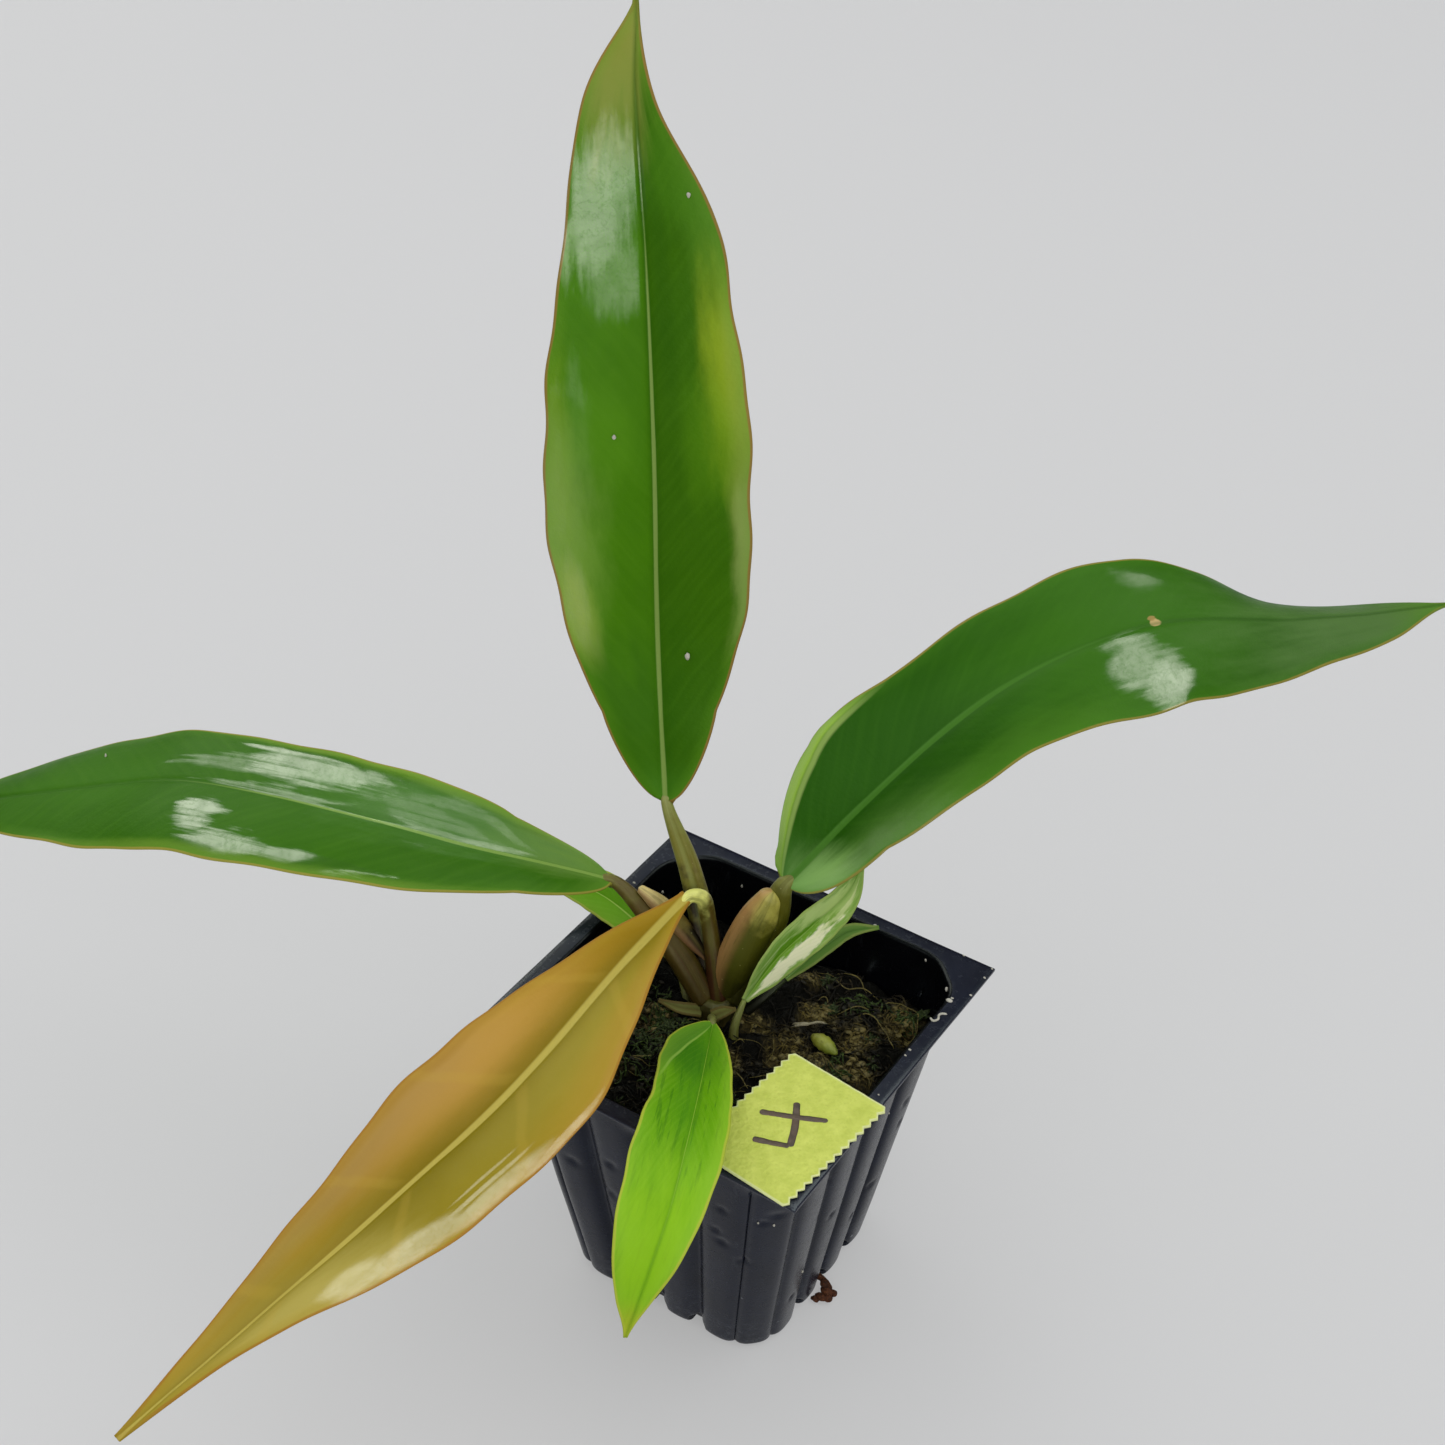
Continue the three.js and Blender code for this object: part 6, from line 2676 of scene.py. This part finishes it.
@dataclass
class Label:
    """A strip of crepe tape on the rim, with a plain number written on it."""

    width: float = 36.5
    length: float = 25.0
    thickness: float = 0.5
    teeth: int = 14
    tooth: float = 0.9
    centre: tuple[float, float] = (31.3, -25.8)
    turn: float = -6.0
    z: float = 80.3
    rows_a_tooth: int = 8
    columns: int = 56
    # An open 4: right and up of its middle, in mm.
    strokes: tuple[tuple[tuple[float, float], ...], ...] = (
        ((-4.6, 7.4), (-5.2, 3.6), (-5.6, -0.6)),
        ((-5.8, -0.8), (0.2, -1.3), (7.2, -1.0)),
        ((3.4, 6.8), (2.9, -0.6), (2.8, -8.2)),
    )
    stroke_width: float = 1.5
    reads: float = 122.0

    def make(self) -> None:
        """Builds the tape and the number."""
        body = Body("label_tape")
        count = self.teeth * self.rows_a_tooth + 1
        y = np.linspace(-self.width / 2, self.width / 2, count)
        phase = (np.arange(count) % self.rows_a_tooth) / self.rows_a_tooth
        reach = self.length / 2 + self.tooth * (1.0 - np.abs(2 * phase - 1.0))
        share = np.linspace(-1.0, 1.0, self.columns)
        x = share[None, :] * reach[:, None]
        y = np.broadcast_to(y[:, None], x.shape)
        wave = self._crepe(x, y)
        top = np.stack([x, y, self.thickness + wave], axis=-1)
        low = np.stack([x, y, 0.15 * wave], axis=-1)
        rim = np.minimum(reach[:, None] - np.abs(x), self.width / 2 - np.abs(y)) / RIM_UNIT
        grids = {SPAN_MAP: top[..., :2] / SPAN_UNIT, RIM_MAP: np.stack([rim, 0 * rim], axis=-1)}
        maps = {name: np.concatenate([grid, grid]) for name, grid in grids.items()}
        points = self._placed(np.concatenate([top, low]))
        body.add(points, slab_faces(count, self.columns), maps=maps)
        settle(body.build([TapeFinish("crepe_tape").material()]), "tape", "label")
        self._number()

    def _crepe(self, x: Array, y: Array) -> Array:
        """The fine wrinkles of the paper and its gentle lie, in mm.

        Args:
            x: places across the tape, in mm.
            y: places along it, in mm.

        Returns:
            The heights in mm.
        """
        grain = Grain(71)
        fine = 0.05 * grain.flat(x / 0.9, y / 0.7) + 0.04 * grain.flat(x / 2.2, y / 1.4, 5)
        return fine + 0.16 * grain.flat(x / 13.0, y / 11.0, 8)

    def _placed(self, local: Array) -> Array:
        """Points of the tape in the plant's frame."""
        x, y = turned(local[..., 0], local[..., 1], self.turn)
        return np.stack([x, y, local[..., 2]], axis=-1) + np.array([*self.centre, self.z])

    def _number(self) -> bpy.types.Object:
        """The strokes of a marker, a hair above the paper.

        Returns:
            The piece.
        """
        body = Body("label_number")
        rng = np.random.default_rng(77)
        steps, wide = 60, 5
        for stroke in self.strokes:
            curve = Curve(tuple((*turned(a, b, self.reads), 0.0) for a, b in stroke))
            t = np.linspace(0, 1, steps)
            middle = curve.at(t)
            side = np.cross(curve.along(t), [0.0, 0.0, 1.0])
            ends = np.sqrt(np.clip(1 - (1 - np.minimum(t, 1 - t) / 0.05).clip(0, 1) ** 2, 0.08, 1))
            half = self.stroke_width / 2 * ends * (1 + 0.09 * rng.normal(size=steps).cumsum() / 6)
            share = np.linspace(-1, 1, wide)
            grid = middle[:, None] + side[:, None] * (half[:, None] * share)[..., None]
            paper = self.thickness + self._crepe(grid[..., 0], grid[..., 1])
            low, top = (np.dstack([grid[..., :2], paper + off]) for off in (-0.05, 0.07))
            body.add(self._placed(np.concatenate([low, top])), slab_faces(steps, wide))
        return settle(body.build([InkFinish("marker_ink").material()]), "tape")


def slab_faces(rows: int, columns: int) -> list[Array]:
    """Faces of a slab between two grids of points, one after the other.

    Args:
        rows: rows of each grid.
        columns: points in a row.

    Returns:
        Arrays of quads: the two faces, then the four sides.
    """
    i, j = np.meshgrid(np.arange(rows - 1), np.arange(columns - 1), indexing="ij")
    a = (i * columns + j).ravel()
    low = rows * columns
    tops = np.stack([a, a + 1, a + 1 + columns, a + columns], axis=-1)
    bottoms = np.stack([a, a + columns, a + 1 + columns, a + 1], axis=-1) + low
    r, c = np.arange(rows - 1) * columns, np.arange(columns - 1)
    right, end = r + columns - 1, (rows - 1) * columns + c
    sides = [
        np.stack([r, r + columns, r + columns + low, r + low], axis=-1),
        np.stack([right + columns, right, right + low, right + columns + low], axis=-1),
        np.stack([c + 1, c, c + low, c + 1 + low], axis=-1),
        np.stack([end, end + 1, end + 1 + low, end + low], axis=-1),
    ]
    return [tops, bottoms, *sides]


# Crumbs


@dataclass
class Crumbs:
    """White mineral crumbs on the rim and the walls, a pale thread, and specks on the leaves.

    Each spot has x, y, z and size in mm. One below the rim is moved onto the nearest wall.
    """

    pot: Pot
    spots: tuple[Values, ...]
    thread: Points
    specks: tuple[tuple[str, float, float, float], ...]

    def make(self) -> None:
        """Builds the crumbs as one piece and the specks as another."""
        finish = FibreFinish("pale_crumbs", "#a8a494", "#d0ccc0", "#efece2", 600.0, 1.6, 0.8, 0.0001)
        skin = finish.material()
        grain = Grain(83)
        body = Body("rim_crumbs")
        for k, (x, y, z, size) in enumerate(self.spots):
            centre, radii = (x, y, z + 0.1 * size), (size, 0.7 * size, 0.4 * size)
            if z < self.pot.height - 0.5:
                walls = np.vstack([self.pot.ring(z, 0.0), self.pot.ring(z, self.pot.wall)])
                near = np.hypot(walls[:, 0] - x, walls[:, 1] - y).argmin()
                centre, radii = tuple(walls[near]), (0.6 * size, 0.6 * size, 0.8 * size)
            add_lump(body, centre, radii, grain, k * 3.7)
        radii = np.array([[0.1, *[0.27] * 16, 0.12]])
        line = Curve(self.thread).at(np.linspace(0.0, 1.0, radii.size))
        add_fibres(body, line[None], radii, 7)
        settle(body.build([skin]), "moss")
        body = Body("leaf_specks")
        forms = {**LONG_FORMS, **SMALL_FORMS}
        for k, (name, across, along, size) in enumerate(self.specks):
            near = np.array([-0.01, 0.0, 0.01])
            sheet = lay_sheet(forms[name], along + near, across + near)
            centre = sheet.points[1, 1] + sheet.normals[1, 1] * (0.5 + 0.15 * size)
            add_lump(body, tuple(centre), (0.6 * size, 0.5 * size, size), grain, 50 + k * 2.9)
        settle(body.build([skin]), "moss")


# The studio


@dataclass(frozen=True)
class Lamp:
    """A soft lamp: where it hangs in degrees and metres, its size and its radiance.

    One that is `gloss` only shows as a reflection and adds no other light.
    """

    name: str
    azimuth: float
    elevation: float
    distance: float
    width: float
    height: float
    radiance: float
    gloss: bool

    def hang(self, aim: Vector) -> None:
        """Hangs the lamp.

        Args:
            aim: what it looks at, in metres.
        """
        a, e = math.radians(self.azimuth), math.radians(self.elevation)
        way = Vector((math.cos(a) * math.cos(e), math.sin(a) * math.cos(e), math.sin(e)))
        data = bpy.data.lights.new(self.name, "AREA")
        data.shape, data.size, data.size_y = "RECTANGLE", self.width, self.height
        data.energy = self.radiance * math.pi * self.width * self.height
        data.color = (0.98, 1.0, 0.86) if self.gloss else (1.0, 1.0, 1.0)
        lamp = bpy.data.objects.new(self.name, data)
        lamp.location = aim + way * self.distance
        lamp.rotation_euler = way.to_track_quat("Z", "Y").to_euler()
        lamp.visible_diffuse = not self.gloss
        lamp.visible_glossy = self.gloss
        bpy.context.scene.collection.objects.link(lamp)


@dataclass
class Studio:
    """The floor, the lights and the camera."""

    focal: float = 2400.0
    frame: float = 1445.0
    azimuth: float = 32.0
    pitch: float = 37.8
    roll: float = 1.9
    camera_at: Point = (206.0, -338.0, 468.0)
    sensor: float = 36.0
    aim: Point = (-10.0, 0.0, 110.0)
    lights: tuple[Lamp, ...] = (
        Lamp("window", 165.0, 50.0, 1.7, 1.4, 1.4, 0.6, False),
        Lamp("ceiling", 32.0, 66.0, 1.8, 1.4, 1.4, 0.7, False),
        Lamp("front", -60.0, 35.0, 1.9, 1.4, 1.4, 0.5, False),
        Lamp("window_gloss", 167.0, 46.0, 1.7, 1.5, 1.9, 4.6, True),
        Lamp("ceiling_gloss", 46.0, 62.0, 1.8, 1.6, 1.6, 4.6, True),
        Lamp("front_gloss", -58.0, 36.0, 0.9, 1.0, 1.3, 4.6, True),
        Lamp("side_gloss", -118.0, 26.0, 1.6, 0.5, 0.9, 2.5, True),
    )
    ambient: float = 0.72
    floor_half: float = 4000.0
    floor_cells: int = 40

    def make(self) -> None:
        """Sets up everything round the plant."""
        self._camera()
        self._floor()
        self._lights()
        bpy.context.scene.view_settings.view_transform = "Standard"

    def _camera(self) -> None:
        """Puts the camera where the photograph was taken from."""
        a, p, r = (math.radians(v) for v in (self.azimuth, self.pitch, self.roll))
        ahead = Vector((-math.sin(a) * math.cos(p), math.cos(a) * math.cos(p), -math.sin(p)))
        level = Vector((math.cos(a), math.sin(a), 0.0))
        upright = level.cross(ahead)
        right = level * math.cos(r) + upright * math.sin(r)
        up = -level * math.sin(r) + upright * math.cos(r)
        data = bpy.data.cameras.new("camera")
        data.sensor_width = self.sensor
        data.lens = self.focal / self.frame * self.sensor
        data.clip_start, data.clip_end = 0.01, 50.0
        camera = bpy.data.objects.new("camera", data)
        turn = Matrix((right, up, -ahead)).transposed().to_4x4()
        camera.matrix_world = Matrix.Translation(Vector(self.camera_at) * MM) @ turn
        bpy.context.scene.collection.objects.link(camera)
        bpy.context.scene.camera = camera

    def _floor(self) -> None:
        """Lays a large flat floor, a hair under the pot."""
        body = Body("floor")
        line = np.linspace(-self.floor_half, self.floor_half, self.floor_cells + 1)
        x, y = np.meshgrid(line, line, indexing="xy")
        points = np.stack([x, y, np.full_like(x, -0.02)], axis=-1)
        body.add(points, slab_faces(len(line), len(line))[:1])
        body.build([FloorFinish("pale_floor").material()])

    def _lights(self) -> None:
        """Hangs the soft lights and fills the room with even light."""
        aim = Vector(self.aim) * MM
        for lamp in self.lights:
            lamp.hang(aim)
        world = bpy.data.worlds.new("studio")
        bpy.context.scene.world = world
        world.use_nodes = True
        sky = world.node_tree.nodes["Background"]
        sky.inputs["Color"].default_value = (0.97, 0.985, 1.0, 1.0)
        sky.inputs["Strength"].default_value = self.ambient
        world.cycles_visibility.glossy = False


CRUMB_SPOTS = (
    (13.9, 41.1, 80, 0.5), (36.4, 44.0, 80, 0.3), (44.0, 43.8, 80, 0.3), (44.0, 40.1, 80, 0.35),
    (44.1, 33.2, 80, 0.35), (40.8, 28.8, 80, 0.75), (41.0, 29.9, 80, 0.4), (41.1, 9.9, 80, 0.4),
    (41.2, 7.8, 80, 0.3), (-41.9, 20.8, 80, 0.4), (42.3, -6.0, 80, 0.25), (37.5, 32.8, 78.6, 0.8),
    (-38.9, 28.1, 73.2, 0.5), (-22.5, 39.3, 75.3, 0.5), (28.8, 39.7, 77.9, 0.5),
    (34.2, 38.9, 73.3, 0.4), (41.0, -16.0, 23.7, 0.4), (31.6, -37.7, 58.3, 0.4),
    (37.0, -37.0, 57.0, 0.4), (-20.0, -38.0, 58.0, 0.3), (40.0, 12.0, 56.0, 0.3),
)  # fmt: skip
THREAD: Points = (
    (40.0, 21.3, 80.2), (41.1, 20.7, 80.25), (41.8, 21.8, 80.3), (41.3, 23.1, 80.3),
    (41.7, 23.9, 80.25), (42.7, 24.4, 80.2),
)  # fmt: skip
LEAF_SPECKS = (
    ("back", -0.37, 0.49, 0.7), ("back", 0.41, 0.2, 1.1), ("back", 0.77, 0.77, 0.7),
    ("left", 0.6, 0.7, 0.5),
)  # fmt: skip

# Each leaf's material slot and its lower side.
LEAF_KINDS = {
    **dict.fromkeys(("back", "right", "left"), ("leaf", GREEN_BELOW)),
    **dict.fromkeys(("front", "narrow", "rear"), ("young", YOUNG_BELOW)),
    "caramel": ("caramel", CARAMEL_BELOW),
    "variegated": ("variegated", PALE_BELOW),
}


@dataclass
class Leaves:
    """All the blades and the dry scales at their foot."""

    long_seed: int = 11
    small_seed: int = 31
    scale_seed: int = 47

    def make(self) -> None:
        """Builds every blade."""
        for index, (name, form) in enumerate(LONG_FORMS.items()):
            self._leaf(name, form, seed=self.long_seed + index)
        for index, (name, form) in enumerate(SMALL_FORMS.items()):
            self._leaf(
                name, form, row_count=120, body=0.45, rib_depth=0.5, rib_width=0.6, swell=0.1,
                vein_spacing=3.0, seed=self.small_seed + index, columns=Blade.columns[::2],
            )  # fmt: skip
        for name, form in BRACT_FORMS.items():
            Blade(
                f"scale_{name}", f"bract_{name}", "bract", form, BRACT_ABOVE, BRACT_BELOW,
                row_count=36, body=0.4, rib_depth=0.2, rib_width=0.4, swell=0.08,
                seed=self.scale_seed, columns=Blade.columns[::4],
            ).make()  # fmt: skip

    @staticmethod
    def _leaf(name: str, form: LeafForm, **sizes: object) -> None:
        """Builds one leaf with its finishes and the blade's other sizes.

        Args:
            name: the leaf's name.
            form: its form.
            **sizes: the sizes in which its blade differs from a large one.
        """
        slot, below = LEAF_KINDS[name]
        above = FINISHES_ABOVE[name]
        Blade(f"leaf_{name}", f"blade_{name}", slot, form, above, below, **sizes).make()


def main() -> None:
    """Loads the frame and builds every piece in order."""
    logging.basicConfig(level=logging.INFO, format="%(message)s", stream=sys.stdout)
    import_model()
    studio = Studio()
    pot = Pot()
    pot.make()
    Moss(pot).make()
    Roots().make()
    Crown().make()
    Stalks().make()
    Leaves().make()
    Bud().make()
    Label().make()
    Crumbs(pot, CRUMB_SPOTS, THREAD, LEAF_SPECKS).make()
    studio.make()


if __name__ == "__main__":
    main()
